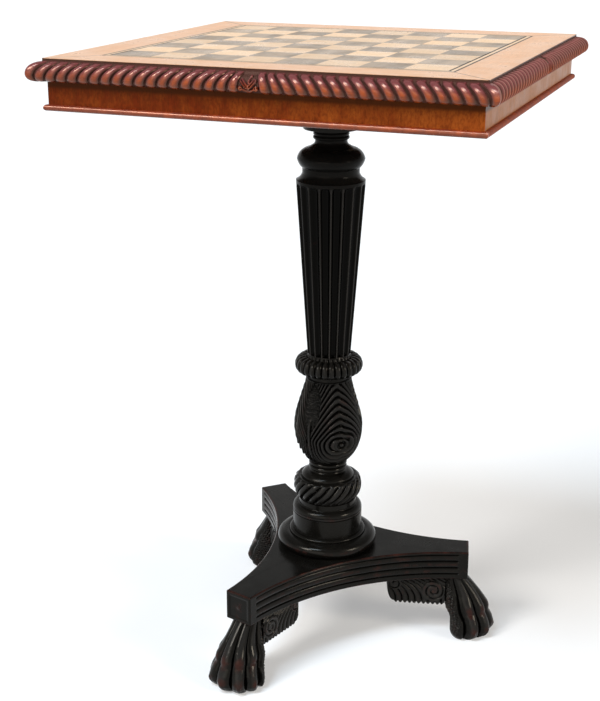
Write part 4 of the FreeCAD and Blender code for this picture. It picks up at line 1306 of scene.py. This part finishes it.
class CarvePaws(bpy.types.Operator):
    """Carve the three paw feet"""
    bl_idname = "chess_table.carve_paws"
    bl_label = "Carve paws"

    def execute(self, context):
        grid = paw_grid()
        for arm, turn in ARM_TURNS.items():
            build("carved_paw_" + arm, "paw_foot_" + arm, grid, turn, crease=70)
        return {"FINISHED"}


class CarveBrackets(bpy.types.Operator):
    """Carve the scroll bracket behind each paw"""
    bl_idname = "chess_table.carve_brackets"
    bl_label = "Carve scroll brackets"

    def execute(self, context):
        grid = bracket_grid()
        for arm, turn in ARM_TURNS.items():
            build("carved_bracket_" + arm, "scroll_bracket_" + arm, grid, turn, crease=70)
        return {"FINISHED"}


class PolishBoard(bpy.types.Operator):
    """Give the squares, lines, band and border their veneers"""
    bl_idname = "chess_table.polish_board"
    bl_label = "Polish board"

    def execute(self, context):
        for node in ("light_squares", "dark_squares", "light_band"):
            finish_nodes(node, node)
        finish_nodes("dark_line", "inner_line", "outer_line")
        for side in SIDE_TURNS:
            finish_nodes("border_" + side, "border_" + side)
        return {"FINISHED"}


class FinishFrieze(bpy.types.Operator):
    """Give the rails and the board under the veneers their wood"""
    bl_idname = "chess_table.finish_frieze"
    bl_label = "Finish frieze"

    def execute(self, context):
        finish_nodes("frieze_veneer", *("frieze_rail_" + side for side in SIDE_TURNS))
        finish_nodes("carved_polish", "top_ground")
        return {"FINISHED"}


class FinishUnderside(bpy.types.Operator):
    """Give the bearers, blocks, wedges and screws their materials"""
    bl_idname = "chess_table.finish_underside"
    bl_label = "Finish underside"

    def execute(self, context):
        finish_nodes("inside_wood", "bearer_long", "bearer_cross", "corner_blocks", "rub_blocks",
                     "upper_wedge", "lower_wedge")
        finish_nodes("aged_steel", "bearer_screws")
        return {"FINISHED"}


class SetStage(bpy.types.Operator):
    """Set up the camera, the lamps, the sky and the floor"""
    bl_idname = "chess_table.set_stage"
    bl_label = "Set stage"

    def execute(self, context):
        levels = context.scene.chess_table_stage
        context.scene.view_settings.view_transform = "Standard"
        make_camera()
        make_world(levels.sky_level)
        make_floor()
        make_lamp("key", 233, 42, 19, levels.key_strength, (1.0, 0.98, 0.96))
        make_lamp("side", -8, 26, 18, levels.side_strength, (1.0, 0.92, 0.8))
        make_lamp("over", 242, 64, 18, levels.over_strength, (0.7, 0.85, 1.0))
        make_lamp("front", 262, 14, 45, levels.front_strength, (1.0, 0.95, 0.88))
        return {"FINISHED"}


STEPS = (
    CarveEdgeMouldings, RunFriezeBeads, TurnShaft, CarveCollar, CarveVase, CarveRopeRing, TurnPlainRings,
    ShapePlatform, CarvePaws, CarveBrackets, PolishBoard, FinishFrieze, FinishUnderside, SetStage)


class ChessTablePanel(bpy.types.Panel):
    """Sizes, colours and steps of the chess table"""
    bl_idname = "VIEW3D_PT_chess_table"
    bl_label = "Chess Table"
    bl_space_type = "VIEW_3D"
    bl_region_type = "UI"
    bl_category = "Chess Table"

    def draw(self, context):
        for group in ("chess_table_sizes", "chess_table_colours", "chess_table_stage"):
            settings = getattr(context.scene, group)
            box = self.layout.box()
            for key in settings.bl_rna.properties.keys():
                if key not in ("rna_type", "name"):
                    box.prop(settings, key)
        for step in STEPS:
            self.layout.operator(step.bl_idname)


SETTINGS = {
    "chess_table_sizes": ChessTableSizes,
    "chess_table_colours": ChessTableColours,
    "chess_table_stage": ChessTableStage}


def register():
    for kind in (*SETTINGS.values(), *STEPS, ChessTablePanel):
        bpy.utils.register_class(kind)
    for name, kind in SETTINGS.items():
        setattr(bpy.types.Scene, name, PointerProperty(type=kind))


def unregister():
    for name in SETTINGS:
        delattr(bpy.types.Scene, name)
    for kind in (ChessTablePanel, *reversed(STEPS), *SETTINGS.values()):
        bpy.utils.unregister_class(kind)


def main():
    register()
    for step in STEPS:
        name = step.bl_idname.split(".")[1]
        getattr(bpy.ops.chess_table, name)()


if __name__ == "__main__":
    main()
